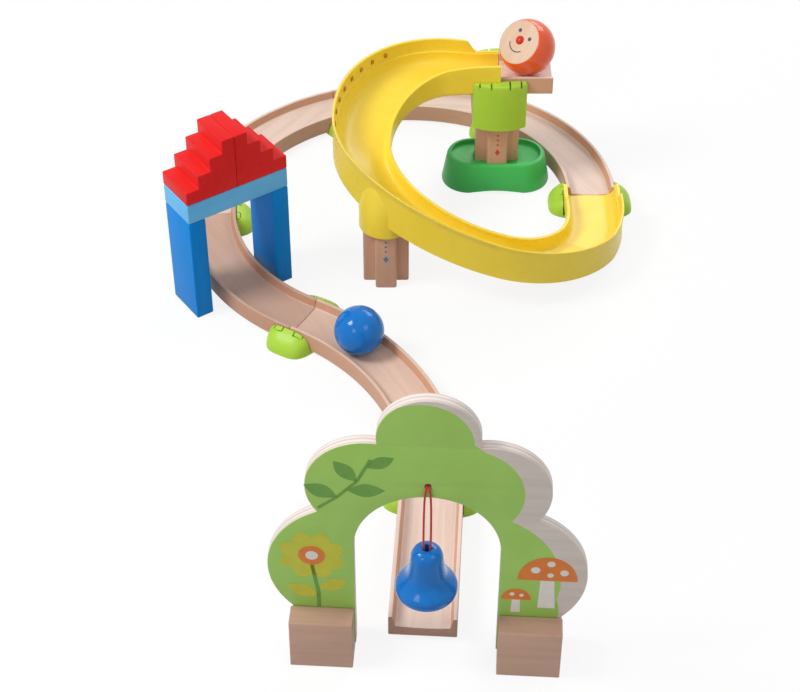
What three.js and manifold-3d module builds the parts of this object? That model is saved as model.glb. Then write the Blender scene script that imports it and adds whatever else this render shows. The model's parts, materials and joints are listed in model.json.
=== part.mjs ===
// Wooden ball track: a start board and a banked spiral chute on two pillars, a loop of beech tracks
// through a block house, and an end track under a tree-shaped gate with a bell.
// Millimetres, +Z up, +Y away from the viewer.
import * as THREE from 'three';
import { mergeVertices } from 'three/addons/utils/BufferGeometryUtils.js';
import { RoundedBoxGeometry } from 'three/addons/geometries/RoundedBoxGeometry.js';
import Module from 'manifold-3d';

const wasm = await Module();
wasm.setup();

// Clearances
const GAP = 0.3;
const CUT_MARGIN = 2;

// Track section and loop
const TRACK_WIDTH = 48;
const TRACK_HEIGHT = 18;
const TRACK_WALL = 6;
const CHANNEL_DEPTH = 10;
const CHANNEL_SIDE = 4.5;
const TRACK_ROUND = 1;
const LOOP_START = [190, 216.7];
const FIRST_RADIUS = 166;
const LOOP_RADIUS = 195;
const END_RADIUS = 230;
const CURVE_RADII = [FIRST_RADIUS, LOOP_RADIUS, LOOP_RADIUS, LOOP_RADIUS, END_RADIUS];
const CURVE_DEGREES = [60, 52, 70, 58, 63.5];
const END_LENGTH = 152;
const END_WIDTH = 53;
const END_HEIGHT = 20.5;
const CURVE_STEPS = 15;

// Connectors under the joints
const CONNECTOR_BASE = 2.5;
const CONNECTOR_LENGTH = 48;
const CONNECTOR_BULGE = 18;
const CONNECTOR_HEIGHT = 19;
const CONNECTOR_NOTCH = [4, 9, 4.5];
const CONNECTOR_NOTCH_AT = 9.5;
const TAB_CLEAR = 1;
const JOINT_ROOM_HEIGHT = 60;
const PEG_RADIUS = 4;
const PEG_HEIGHT = 5;
const PEG_FROM_JOINT = 12;

// Pillars, foot and head
const PILLAR_SPAN = 43;
const PILLAR_ARM = 20;
const PILLAR_ROUND = 2.5;
const SOCKET_WALL = 2;
const FRONT_PILLAR_ALONG = 253.4;
const FRONT_PILLAR_OUT = 8.7;
const FOOT_LENGTH = 110;
const FOOT_DEPTH = 56;
const FOOT_HEIGHT = 33;
const FOOT_TAPER = [6, 2.5];
const FOOT_ROUND = 3;
const FOOT_RIM = 4;
const FOOT_RECESS = 4;
const FOOT_SOCKET_FLOOR = 11.7;
const FOOT_ARCH_WIDTH = 62;
const FOOT_ARCH_HEIGHT = 4;
const HEAD_ROUND = 4;
const HEAD_NOTCH = [5, 12, 5];
const HEAD_NOTCH_AT = 14.5;
const HEAD_LENGTH = 52;
const HEAD_BULGE = 10;
const HEAD_BOTTOM = 78;
const HEAD_SEAT = 116.7;
const HEAD_TOP = 131;
const HEAD_SOCKET_DEPTH = 32;
const BOARD_LENGTH = 51;

// Spiral chute: a straight, three quarter turns of an oval and a straight, seen from above
const CHUTE_WIDTH = 55;
const CHUTE_WALL = 2.6;
const CHUTE_FLOOR = 3;
const CHUTE_INNER_WALL = 16.5;
const CHUTE_OUTER_WALL = 26;
const CHUTE_LIP = 1;
const CHUTE_LEDGE = [1.8, 13];
const CHUTE_INNER_CORNER = 8;
const CHUTE_OUTER_CORNER = 12;
const CHUTE_EDGE_CORNER = 4;
const CHUTE_BANK = 24;
const CHUTE_ENTRY_STRAIGHT = 49;
const CHUTE_TURNS = [[84, 95], [131.5, 88], [94.5, 92.5]];
const CHUTE_EXIT_STRAIGHT = 45.2;
const CHUTE_LEVEL_START = 27;
const CHUTE_LEVEL_END = 88;
const CHUTE_FALL_EASE = 0.5;
const CHUTE_FALL_POWER = 1.2;
const SKIRT_REST = 0.1;
const SKIRT_BANK = 0.48;
const CHUTE_EXIT_FLOOR = 11.5;
const CHUTE_STEPS = 52;
const LOW_WALL = 13.5;
const LOW_WALL_LENGTH = 27;
const LOW_WALL_REST = 0.04;
const ENTRY_HIGH_WALL = 13;
const ENTRY_HIGH_LENGTH = 150;
const CHUTE_FOOT = [30, 18];
const BUMP_COUNT = 12;
const BUMP_SIZE = [1.2, 4, 2.6];
const BUMP_BELOW_RIM = 5;
const BUMP_RANGE = [80, 222];
const BOSS_BOTTOM = 60;
const BOSS_STRAIGHT = 24;
const BOSS_TOP = 114;
const BOSS_LEAN = 8;
const BOSS_SOCKET_DEPTH = 9;

// Block house over the loop
const HOUSE_TRACK = 3;
const HOUSE_ALONG = 112.3;
const HOUSE_OUT = 2;
const HOUSE_WIDTH = 104;
const HOUSE_DEPTH = 43;
const HOUSE_AHEAD = -9.5;
const POST_THICKNESS = 17;
const POST_HEIGHT = 108;
const LINTEL_HEIGHT = 20;
const ROOF_STEPS = 4;
const ROOF_HEIGHT = 54;
const BLOCK_ROUND = 1.2;

// Tree gate and bell
const GATE_FORWARD = 11.7;
const GATE_ASIDE = 3;
const PLATE_THICKNESS = 9;
const PLATE_TOP = 259;
const PLATE_BOTTOM = 6;
const OPENING_HALF = 53;
const OPENING_SPRING = 114;
const LEG_OUTER = 100;
const TREE_NOTCHES = [[36, 217], [79, 148]];
const TREE_SIDES = [[80.4, 196.8], [117, 88]];
const FOOT_BLOCK = [54, 101.5];
const FOOT_BLOCK_HEIGHT = 46;
const FOOT_BLOCK_FRONT = 18;
const FOOT_BLOCK_BACK = 10;
const FOOT_BLOCK_SLOPE = 2;
const CORD_HOLE_HEIGHT = 178;
const CORD_HOLE_RADIUS = 2.4;
const CORD_RADIUS = 0.8;
const CORD_FORWARD = 1.9;
const CORD_SPREAD = 2.5;
const KNOT_RADIUS = 3.4;
const BELL_LIP_HEIGHT = 72;
const BELL_LIP_RADIUS = 23;
const BELL_HEIGHT = 46;
const CROWN_HOLE_DEPTH = 7;
const CLAPPER_PIVOT = 32;
const CLAPPER_HEAD = 2.5;
const CLAPPER_ROD = 1.1;
const CLAPPER_BALL = 7;
const CLAPPER_DROP = 36;

// Balls
const BLUE_BALL_RADIUS = 22.5;
const BLUE_BALL_ANGLE = THREE.MathUtils.degToRad(43.6);
const FACE_BALL_RADIUS = 27;
const FACE_BALL_ALONG = 26;
const FACE_SEAT = 16.3;
const FACE_RISE = 41;
const FACE_TURN = -47;
const NOSE_RADIUS = 4.5;
const NOSE_DEPTH = 2;
const NOSE_RISE = 2.7;
const NOSE_ABOVE = 2;

// Colours: [colour, roughness]
const BEECH = [0xe3c3a6, 0.62];
const YELLOW = [0xf2cf35, 0.38];
const LIGHT_GREEN = [0x9bc63c, 0.4];
const DARK_GREEN = [0x49a548, 0.42];
const POST_BLUE = [0x0069bd, 0.5];
const PALE_BLUE = [0x5aa5d7, 0.5];
const RED = [0xe23a34, 0.5];
const GLOSS_BLUE = [0x005fb4, 0.22];
const ORANGE = [0xeb4b23, 0.25];
const LEAF_GREEN = [0x8db452, 0.6];
const CORD_RED = [0xb41e14, 0.85];

const TRACK_BOTTOM = CONNECTOR_BASE + GAP;
const TRACK_TOP = TRACK_BOTTOM + TRACK_HEIGHT;
const PILLAR_CORNER = Math.hypot(PILLAR_SPAN / 2 - PILLAR_ROUND, PILLAR_ARM / 2 - PILLAR_ROUND);
const SOCKET_RADIUS = PILLAR_CORNER + PILLAR_ROUND + GAP;

const part = new THREE.Group();
part.name = 'ball_track_toy';

// Solids
function bareGeometry(geometry) {
  const bare = geometry.clone();
  bare.deleteAttribute('normal');
  bare.deleteAttribute('uv');
  return mergeVertices(bare, 1e-4);
}

function signedVolume(geometry) {
  const position = geometry.attributes.position;
  const index = geometry.index;
  const corners = [new THREE.Vector3(), new THREE.Vector3(), new THREE.Vector3()];
  let volume = 0;
  for (let i = 0; i < index.count; i += 3) {
    corners.forEach((corner, k) => corner.fromBufferAttribute(position, index.getX(i + k)));
    volume += corners[0].dot(corners[1].clone().cross(corners[2])) / 6;
  }
  return volume;
}

function solid(geometry) {
  const bare = bareGeometry(geometry);
  const triangles = Uint32Array.from(bare.index.array);
  if (signedVolume(bare) < 0) triangles.reverse();
  const vertices = Float32Array.from(bare.attributes.position.array);
  return new wasm.Manifold(new wasm.Mesh({ numProp: 3, vertProperties: vertices, triVerts: triangles }));
}

function addPart(name, body, [colour, roughness]) {
  const shape = body.getMesh();
  const geometry = new THREE.BufferGeometry();
  geometry.setAttribute('position', new THREE.Float32BufferAttribute(shape.vertProperties, 3));
  geometry.setIndex(new THREE.Uint32BufferAttribute(shape.triVerts, 1));
  geometry.computeVertexNormals();
  const material = new THREE.MeshStandardMaterial({ color: colour, roughness, metalness: 0 });
  const mesh = new THREE.Mesh(geometry, material);
  mesh.name = name;
  part.add(mesh);
}

function box(from, to) {
  const size = to.map((value, i) => value - from[i]);
  const geometry = new THREE.BoxGeometry(...size);
  geometry.translate(...from.map((value, i) => value + size[i] / 2));
  return solid(geometry);
}

function roundedBox(from, to, radius) {
  const size = to.map((value, i) => value - from[i]);
  const geometry = new RoundedBoxGeometry(...size, 2, radius);
  geometry.translate(...from.map((value, i) => value + size[i] / 2));
  return solid(geometry);
}

function cylinder(x, y, bottom, top, radius, topRadius = radius, sides = 32) {
  const geometry = new THREE.CylinderGeometry(topRadius, radius, top - bottom, sides);
  geometry.rotateX(Math.PI / 2);
  geometry.translate(x, y, (bottom + top) / 2);
  return solid(geometry);
}

function sphere(x, y, z, radius, across = 24, down = 16) {
  const geometry = new THREE.SphereGeometry(radius, across, down);
  geometry.rotateX(Math.PI / 2);
  geometry.translate(x, y, z);
  return solid(geometry);
}

// A flat outline in x and y, raised from one height to another
function prism(shape, bottom, top, curveSegments = 12) {
  const depth = top - bottom;
  const geometry = new THREE.ExtrudeGeometry(shape, { depth, bevelEnabled: false, curveSegments });
  geometry.translate(0, 0, bottom);
  return solid(geometry);
}

// Turns a body about the vertical and moves it to a place
function placed(body, x, y, heading) {
  return body.rotate([0, 0, THREE.MathUtils.radToDeg(heading)]).translate([x, y, 0]);
}

// Paths: each gives the place and heading at a distance along it
function straightPath(x, y, heading) {
  return (s) => ({ x: x + s * Math.cos(heading), y: y + s * Math.sin(heading), heading });
}

function arcPath(x, y, heading, radius, turn) {
  const centreX = x - turn * radius * Math.sin(heading);
  const centreY = y + turn * radius * Math.cos(heading);
  return (s) => {
    const now = heading + (turn * s) / radius;
    return {
      x: centreX + turn * radius * Math.sin(now),
      y: centreY - turn * radius * Math.cos(now),
      heading: now,
    };
  };
}

// Sweeps a section along a path. The section's x is the left side of travel and its y is up.
function sweep(shape, path, from, to, steps, lift = (s, x, up) => up, curveSegments = 2) {
  const depth = to - from;
  const geometry = new THREE.ExtrudeGeometry(shape, { depth, steps, bevelEnabled: false, curveSegments });
  const position = geometry.attributes.position;
  for (let i = 0; i < position.count; i++) {
    const across = position.getX(i);
    const along = from + position.getZ(i);
    const height = lift(along, across, position.getY(i));
    const { x, y, heading } = path(along);
    position.setXYZ(i, x - across * Math.sin(heading), y + across * Math.cos(heading), height);
  }
  return solid(geometry);
}

function rectangle(halfWidth, bottom, top) {
  const shape = new THREE.Shape();
  shape.moveTo(-halfWidth, bottom);
  shape.lineTo(halfWidth, bottom);
  shape.lineTo(halfWidth, top);
  shape.lineTo(-halfWidth, top);
  shape.closePath();
  return shape;
}

// Track section: a block with a rounded channel along its top, its floor at one height in all tracks
function trackSection(bottom, width, height) {
  const half = width / 2;
  const inner = half - TRACK_WALL;
  const top = bottom + height;
  const low = bottom + TRACK_HEIGHT - CHANNEL_DEPTH;
  const sag = CHANNEL_DEPTH - CHANNEL_SIDE;
  const sideEnd = low + sag;
  const round = TRACK_ROUND;
  const arcRadius = (inner * inner + sag * sag) / (2 * sag);
  const arcHalf = Math.asin(inner / arcRadius);
  const shape = new THREE.Shape();
  shape.moveTo(-half, bottom);
  shape.lineTo(half, bottom);
  shape.lineTo(half, top - round);
  shape.quadraticCurveTo(half, top, half - round, top);
  shape.lineTo(inner + round, top);
  shape.quadraticCurveTo(inner, top, inner, top - round);
  shape.lineTo(inner, sideEnd);
  for (const side of [1, 0]) {
    const start = -Math.PI / 2 + side * arcHalf;
    shape.absarc(0, low + arcRadius, arcRadius, start, start - arcHalf, true);
  }
  shape.lineTo(-inner, top - round);
  shape.quadraticCurveTo(-inner, top, -inner - round, top);
  shape.lineTo(-half + round, top);
  shape.quadraticCurveTo(-half, top, -half, top - round);
  shape.closePath();
  return shape;
}

// A track along a path, with a peg socket under each end
function track(path, length, steps, bottom, width = TRACK_WIDTH, height = TRACK_HEIGHT) {
  let body = sweep(trackSection(bottom, width, height), path, GAP / 2, length - GAP / 2, steps);
  for (const s of [PEG_FROM_JOINT, length - PEG_FROM_JOINT]) {
    const { x, y } = path(s);
    const top = bottom + PEG_HEIGHT + GAP;
    body = body.subtract(cylinder(x, y, bottom - CUT_MARGIN, top, PEG_RADIUS + GAP, PEG_RADIUS + GAP, 12));
  }
  return body;
}

// Loop and end tracks, joint after joint
const joints = [];
let spot = { x: LOOP_START[0], y: LOOP_START[1], heading: Math.PI / 2 };
const trackPaths = [];
CURVE_RADII.forEach((radius, i) => {
  const last = i === CURVE_RADII.length - 1;
  const length = radius * THREE.MathUtils.degToRad(CURVE_DEGREES[i]);
  const path = arcPath(spot.x, spot.y, spot.heading, radius, last ? -1 : 1);
  joints.push(spot);
  trackPaths.push({ path, length });
  spot = path(length);
});
joints.push(spot);
trackPaths.push({ path: straightPath(spot.x, spot.y, spot.heading), length: END_LENGTH });
trackPaths.forEach(({ path, length }, i) => {
  const curved = i < CURVE_RADII.length;
  if (curved) addPart(`curve_track_${i + 1}`, track(path, length, CURVE_STEPS, TRACK_BOTTOM), BEECH);
  else addPart('end_track', track(path, length, 1, TRACK_BOTTOM, END_WIDTH, END_HEIGHT), BEECH);
});

// Spiral chute path, measured from the board joint: places with their headings
const chutePoints = [[0, 0, Math.PI]];
let turnStart = [-CHUTE_ENTRY_STRAIGHT, 0];
CHUTE_TURNS.forEach(([halfX, halfY], quarter) => {
  const start = ((quarter + 1) * Math.PI) / 2;
  const centre = [turnStart[0] - halfX * Math.cos(start), turnStart[1] - halfY * Math.sin(start)];
  for (let i = quarter ? 1 : 0; i <= 90; i++) {
    const angle = start + THREE.MathUtils.degToRad(i);
    const heading = Math.atan2(halfY * Math.cos(angle), -halfX * Math.sin(angle));
    chutePoints.push([centre[0] + halfX * Math.cos(angle), centre[1] + halfY * Math.sin(angle), heading]);
  }
  turnStart = chutePoints[chutePoints.length - 1];
});
const chuteReach = [turnStart[0], turnStart[1] + CHUTE_EXIT_STRAIGHT];
chutePoints.push([...chuteReach, Math.PI / 2]);
const boardJoint = [LOOP_START[0] - chuteReach[0], LOOP_START[1] - chuteReach[1]];
const chuteDistance = [0];
for (let i = 1; i < chutePoints.length; i++) {
  const step = Math.hypot(chutePoints[i][0] - chutePoints[i - 1][0], chutePoints[i][1] - chutePoints[i - 1][1]);
  chuteDistance.push(chuteDistance[i - 1] + step);
}
const chuteLength = chuteDistance[chuteDistance.length - 1];

function chutePath(s) {
  const next = chuteDistance.findIndex((d) => d > s);
  const k = next < 0 ? chutePoints.length - 2 : Math.max(next - 1, 0);
  const t = (s - chuteDistance[k]) / (chuteDistance[k + 1] - chuteDistance[k]);
  const [a, b] = [chutePoints[k], chutePoints[k + 1]];
  let turn = b[2] - a[2];
  if (turn < -Math.PI) turn += 2 * Math.PI;
  return {
    x: boardJoint[0] + a[0] + t * (b[0] - a[0]),
    y: boardJoint[1] + a[1] + t * (b[1] - a[1]),
    heading: a[2] + t * turn,
  };
}

// The front pillar stands under the outer half of the chute
const aboveFrontPillar = chutePath(FRONT_PILLAR_ALONG);
const frontPillarPlace = [
  aboveFrontPillar.x + FRONT_PILLAR_OUT * Math.sin(aboveFrontPillar.heading),
  aboveFrontPillar.y - FRONT_PILLAR_OUT * Math.cos(aboveFrontPillar.heading),
];

// The outer wall starts low, the inner wall starts high, and both end low
function chuteWall(s, across, up) {
  const inside = CHUTE_WIDTH / 2 - CHUTE_WALL;
  const low = s > chuteLength - LOW_WALL_LENGTH || (across < 0 && s < LOW_WALL_LENGTH);
  if (low && up > LOW_WALL) return LOW_WALL + LOW_WALL_REST * (up - LOW_WALL);
  const atInnerTop = across > inside - GAP && up > CHUTE_INNER_WALL - 2 * CHUTE_LIP;
  return atInnerTop ? up + ENTRY_HIGH_WALL * (1 - THREE.MathUtils.smoothstep(s, 0, ENTRY_HIGH_LENGTH)) : up;
}

// The floor is level on the head and at the exit, falls between them and banks in the middle.
// The skirt under the outer wall takes only a share of the bank.
const CHUTE_ENTRY_FLOOR = HEAD_SEAT + GAP + CHUTE_FLOOR;
function chuteLift(s, across, up) {
  const fallEnd = chuteLength - CHUTE_LEVEL_END;
  const t = THREE.MathUtils.clamp((s - CHUTE_LEVEL_START) / (fallEnd - CHUTE_LEVEL_START), 0, 1);
  const eased = t - (CHUTE_FALL_EASE * Math.sin(2 * Math.PI * t)) / (2 * Math.PI);
  const fall = THREE.MathUtils.lerp(CHUTE_ENTRY_FLOOR, CHUTE_EXIT_FLOOR, eased ** CHUTE_FALL_POWER);
  const bank = CHUTE_BANK * Math.sin(Math.PI * t);
  const outward = THREE.MathUtils.clamp(0.5 - across / CHUTE_WIDTH, 0, 1);
  const share = up < -CHUTE_FLOOR ? SKIRT_BANK : outward ** 1.5;
  return fall + chuteWall(s, across, up) + bank * share;
}

// Chute section: a floor, a low inner wall with a lip, and a tall outer wall with a ledge and a skirt
function chuteSection() {
  const half = CHUTE_WIDTH / 2;
  const inside = half - CHUTE_WALL;
  const middle = half - CHUTE_WALL / 2;
  const [ledge, ledgeHeight] = CHUTE_LEDGE;
  const innerTop = CHUTE_INNER_WALL - CHUTE_LIP;
  const outerTop = CHUTE_OUTER_WALL - CHUTE_LIP;
  const shape = new THREE.Shape();
  shape.moveTo(-inside, -CHUTE_FLOOR);
  shape.lineTo(0, -CHUTE_FLOOR);
  shape.lineTo(half - CHUTE_EDGE_CORNER, -CHUTE_FLOOR);
  shape.quadraticCurveTo(half, -CHUTE_FLOOR, half, CHUTE_EDGE_CORNER - CHUTE_FLOOR);
  shape.lineTo(half, innerTop);
  shape.quadraticCurveTo(middle, CHUTE_INNER_WALL + CHUTE_LIP, inside, innerTop);
  shape.lineTo(inside, CHUTE_INNER_CORNER);
  shape.quadraticCurveTo(inside, 0, inside - CHUTE_INNER_CORNER, 0);
  shape.lineTo(0, 0);
  shape.lineTo(ledge + CHUTE_OUTER_CORNER - inside, 0);
  shape.quadraticCurveTo(ledge - inside, 0, ledge - inside, CHUTE_OUTER_CORNER);
  shape.lineTo(ledge - inside, ledgeHeight);
  shape.lineTo(-inside, ledgeHeight + CHUTE_LIP);
  shape.lineTo(-inside, outerTop);
  shape.quadraticCurveTo(-middle, CHUTE_OUTER_WALL + CHUTE_LIP, -half, outerTop);
  shape.lineTo(-half, -CHUTE_FLOOR - SKIRT_REST);
  shape.lineTo(-inside, -CHUTE_FLOOR - SKIRT_REST);
  shape.closePath();
  return shape;
}

// Socket boss for the front pillar: upright at the bottom, then leaning in under the outer wall
function pillarBoss() {
  const [x, y] = frontPillarPlace;
  const radius = SOCKET_RADIUS + SOCKET_WALL;
  const straightTop = BOSS_BOTTOM + BOSS_STRAIGHT;
  const lean = BOSS_LEAN / (BOSS_TOP - straightTop);
  const upper = new THREE.CylinderGeometry(radius, radius, BOSS_TOP - straightTop, 32);
  upper.rotateX(Math.PI / 2);
  upper.translate(0, 0, (BOSS_TOP - straightTop) / 2);
  const { heading } = aboveFrontPillar;
  const shear = new THREE.Matrix4();
  shear.makeShear(0, 0, 0, 0, -lean * Math.sin(heading), lean * Math.cos(heading));
  upper.applyMatrix4(shear);
  upper.translate(x, y, straightTop);
  const half = CHUTE_WIDTH / 2 - CHUTE_WALL / 2;
  const air = rectangle(half, -CHUTE_FLOOR / 2, 2 * CHUTE_OUTER_WALL);
  const from = FRONT_PILLAR_ALONG - CHUTE_WIDTH;
  const to = FRONT_PILLAR_ALONG + CHUTE_WIDTH;
  const channelAir = sweep(air, chutePath, from, to, CHUTE_STEPS / 2, chuteLift);
  return cylinder(x, y, BOSS_BOTTOM, straightTop, radius).add(solid(upper)).subtract(channelAir);
}

function spiralChute() {
  const inside = CHUTE_WIDTH / 2 - CHUTE_WALL;
  const from = GAP / 2;
  const to = chuteLength - GAP / 2;
  let body = sweep(chuteSection(), chutePath, from, to, CHUTE_STEPS, chuteLift);
  // Small bumps on the inside of the tall outer wall
  const [bumpRise, bumpHeight, bumpLength] = BUMP_SIZE;
  const bumpTop = CHUTE_OUTER_WALL - BUMP_BELOW_RIM;
  for (let i = 0; i < BUMP_COUNT; i++) {
    const s = THREE.MathUtils.lerp(...BUMP_RANGE, i / (BUMP_COUNT - 1));
    const bump = new THREE.Shape();
    bump.moveTo(-inside - CHUTE_WALL / 2, bumpTop - bumpHeight);
    bump.lineTo(-inside + bumpRise, bumpTop - bumpHeight);
    bump.lineTo(-inside + bumpRise, bumpTop);
    bump.lineTo(-inside - CHUTE_WALL / 2, bumpTop);
    bump.closePath();
    body = body.add(sweep(bump, chutePath, s - bumpLength / 2, s + bumpLength / 2, 1, chuteLift));
  }
  const [x, y] = frontPillarPlace;
  const socketTop = BOSS_BOTTOM + BOSS_SOCKET_DEPTH;
  body = body.add(pillarBoss()).subtract(cylinder(x, y, BOSS_BOTTOM - CUT_MARGIN, socketTop, SOCKET_RADIUS));
  // Foot under the exit with a peg socket
  const end = chutePath(to);
  const [footWidth, footLength] = CHUTE_FOOT;
  const footTop = CHUTE_EXIT_FLOOR - CHUTE_FLOOR / 2;
  const footFrom = [end.x - footWidth / 2, end.y - footLength, TRACK_BOTTOM];
  const foot = box(footFrom, [end.x + footWidth / 2, end.y, footTop]);
  const peg = chutePath(chuteLength - PEG_FROM_JOINT);
  const pegTop = TRACK_BOTTOM + PEG_HEIGHT + GAP;
  const pegRoom = PEG_RADIUS + GAP;
  const hole = cylinder(peg.x, peg.y, TRACK_BOTTOM - CUT_MARGIN, pegTop, pegRoom, pegRoom, 12);
  return body.add(foot).subtract(hole);
}
addPart('spiral_chute', spiralChute(), YELLOW);

// Start board on the pillar head
const boardPath = straightPath(boardJoint[0] + BOARD_LENGTH, boardJoint[1], Math.PI);
const BOARD_BOTTOM = HEAD_SEAT + GAP;
addPart('start_board', track(boardPath, BOARD_LENGTH, 1, BOARD_BOTTOM), BEECH);

// Floor connectors: a dome across the joint, as high as CONNECTOR_HEIGHT beside the track
function domedWings() {
  const half = TRACK_WIDTH / 2 + GAP;
  const reach = half + CONNECTOR_BULGE;
  const share = Math.sqrt(1 - (half / reach) ** 2);
  const dome = new THREE.SphereGeometry(1, 28, 14);
  dome.rotateX(Math.PI / 2);
  dome.scale(reach, CONNECTOR_LENGTH / (2 * share), CONNECTOR_HEIGHT / share);
  const below = box([-reach, -reach, -reach], [reach, reach, 0]);
  return solid(dome).subtract(below);
}

// Room for the pieces on both sides of a joint, above the seat
function jointRoom(before, after, beforeHalf, afterHalf, seat) {
  const top = seat + JOINT_ROOM_HEIGHT;
  const reach = CONNECTOR_LENGTH;
  const rear = sweep(rectangle(beforeHalf + GAP, seat, top), before, -reach, 0.01, 6);
  const front = sweep(rectangle(afterHalf + GAP, seat, top), after, -0.01, reach, 6);
  return rear.add(front);
}

// Cuts wings to the pieces they hold and gives them snap tabs in notches
function connector({ wings, joint, before, after, beforeHalf, afterHalf, seat, top, notchSize, notchAt }) {
  let body = wings;
  const [thick, long, deep] = notchSize;
  for (const side of [-1, 1]) {
    for (const end of [-1, 1]) {
      const inner = (end < 0 ? beforeHalf : afterHalf) - GAP;
      const turned = (part) => part.rotate([0, 0, side < 0 ? 0 : 180]).translate([0, end * notchAt, 0]);
      const notch = box([-inner - thick, -long / 2, top - deep], [-inner, long / 2, top + CUT_MARGIN]);
      const tabThick = thick - TAB_CLEAR;
      const tabHalf = long / 2 - TAB_CLEAR;
      const tab = box([-inner - tabThick, -tabHalf, top - deep - TAB_CLEAR], [-inner, tabHalf, top - deep / 2]);
      body = body.subtract(turned(notch)).add(turned(tab));
    }
  }
  body = placed(body, joint.x, joint.y, joint.heading - Math.PI / 2);
  return body.subtract(jointRoom(before, after, beforeHalf, afterHalf, seat));
}

function peg(path, s, seat) {
  const { x, y } = path(s);
  return cylinder(x, y, seat - 1, seat + PEG_HEIGHT, PEG_RADIUS, PEG_RADIUS, 12);
}

joints.forEach((joint, i) => {
  const after = trackPaths[i].path;
  const first = i === 0;
  const before = (s) => {
    if (first) return chutePath(chuteLength + s);
    return trackPaths[i - 1].path(trackPaths[i - 1].length + s);
  };
  const last = i === joints.length - 1;
  const body = connector({
    wings: domedWings(),
    joint,
    before,
    after,
    beforeHalf: (first ? CHUTE_WIDTH : TRACK_WIDTH) / 2,
    afterHalf: (last ? END_WIDTH : TRACK_WIDTH) / 2,
    seat: CONNECTOR_BASE,
    top: CONNECTOR_HEIGHT,
    notchSize: CONNECTOR_NOTCH,
    notchAt: CONNECTOR_NOTCH_AT,
  });
  const pegs = peg(after, PEG_FROM_JOINT, CONNECTOR_BASE).add(peg(before, -PEG_FROM_JOINT, CONNECTOR_BASE));
  addPart(`track_connector_${i + 1}`, body.add(pegs), LIGHT_GREEN);
});

// Pillars: columns with a cross section, and room for them with a clearance around it
function pillar([x, y], bottom, top, clear = 0) {
  const outer = PILLAR_SPAN / 2 + clear;
  const arm = PILLAR_ARM / 2 + clear;
  const round = PILLAR_ROUND;
  const shape = new THREE.Shape();
  shape.moveTo(outer, -arm + round);
  for (let k = 0; k < 4; k++) {
    const turn = (k * Math.PI) / 2;
    const at = (u, v) => [u * Math.cos(turn) - v * Math.sin(turn), u * Math.sin(turn) + v * Math.cos(turn)];
    shape.lineTo(...at(outer, arm - round));
    shape.quadraticCurveTo(...at(outer, arm), ...at(outer - round, arm));
    shape.lineTo(...at(arm, arm));
    shape.lineTo(...at(arm, outer - round));
    shape.quadraticCurveTo(...at(arm, outer), ...at(arm - round, outer));
  }
  shape.closePath();
  return prism(shape, bottom, top, 3).translate([x, y, 0]);
}
const headSocketTop = HEAD_BOTTOM + HEAD_SOCKET_DEPTH;
addPart('rear_pillar', pillar(boardJoint, FOOT_SOCKET_FLOOR + GAP, headSocketTop - GAP), BEECH);
addPart('front_pillar', pillar(frontPillarPlace, 0, BOSS_BOTTOM + BOSS_SOCKET_DEPTH - GAP), BEECH);

// Foot of the rear pillar: a tapered, rounded base with a rim, a socket and an arched gap below
function stadium(length, depth) {
  const half = (length - depth) / 2;
  const radius = depth / 2;
  const shape = new THREE.Shape();
  shape.moveTo(half, -radius);
  shape.absarc(half, 0, radius, -Math.PI / 2, Math.PI / 2, false);
  shape.lineTo(-half, radius);
  shape.absarc(-half, 0, radius, Math.PI / 2, (3 * Math.PI) / 2, false);
  shape.closePath();
  return shape;
}

function pillarFoot() {
  const [taperX, taperY] = FOOT_TAPER;
  const shell = new THREE.ExtrudeGeometry(stadium(FOOT_LENGTH, FOOT_DEPTH), {
    depth: FOOT_HEIGHT - 2 * FOOT_ROUND,
    bevelSize: FOOT_ROUND,
    bevelOffset: -FOOT_ROUND,
    bevelThickness: FOOT_ROUND,
    bevelSegments: 2,
    curveSegments: 9,
  });
  shell.translate(0, 0, FOOT_ROUND);
  const position = shell.attributes.position;
  for (let i = 0; i < position.count; i++) {
    const up = position.getZ(i) / FOOT_HEIGHT;
    position.setX(i, position.getX(i) * (1 - (2 * taperX * up) / FOOT_LENGTH));
    position.setY(i, position.getY(i) * (1 - (2 * taperY * up) / FOOT_DEPTH));
  }
  const inner = stadium(FOOT_LENGTH - 2 * (taperX + FOOT_RIM), FOOT_DEPTH - 2 * (taperY + FOOT_RIM));
  let body = solid(shell);
  body = body.subtract(prism(inner, FOOT_HEIGHT - FOOT_RECESS, FOOT_HEIGHT + CUT_MARGIN, 9));
  body = body.subtract(pillar([0, 0], FOOT_SOCKET_FLOOR, FOOT_HEIGHT + CUT_MARGIN, GAP));
  const half = FOOT_ARCH_WIDTH / 2;
  const radius = (half ** 2 + FOOT_ARCH_HEIGHT ** 2) / (2 * FOOT_ARCH_HEIGHT);
  const arch = new THREE.CylinderGeometry(radius, radius, 2 * FOOT_DEPTH, 128);
  arch.translate(0, 0, FOOT_ARCH_HEIGHT - radius);
  return body.subtract(solid(arch));
}
addPart('pillar_foot', pillarFoot().translate([...boardJoint, 0]), DARK_GREEN);

// Pillar head: a tall connector with bulging wings, a socket below and a seat for the board and the chute above
function headPlan() {
  const half = TRACK_WIDTH / 2 + GAP;
  const halfLength = HEAD_LENGTH / 2;
  const radius = (halfLength ** 2 + HEAD_BULGE ** 2) / (2 * HEAD_BULGE);
  const centre = half + HEAD_BULGE - radius;
  const angle = Math.asin(halfLength / radius);
  const shape = new THREE.Shape();
  shape.moveTo(half, -halfLength);
  shape.absarc(centre, 0, radius, -angle, angle, false);
  shape.lineTo(-half, halfLength);
  shape.absarc(-centre, 0, radius, Math.PI - angle, Math.PI + angle, false);
  shape.closePath();
  return shape;
}

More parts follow.
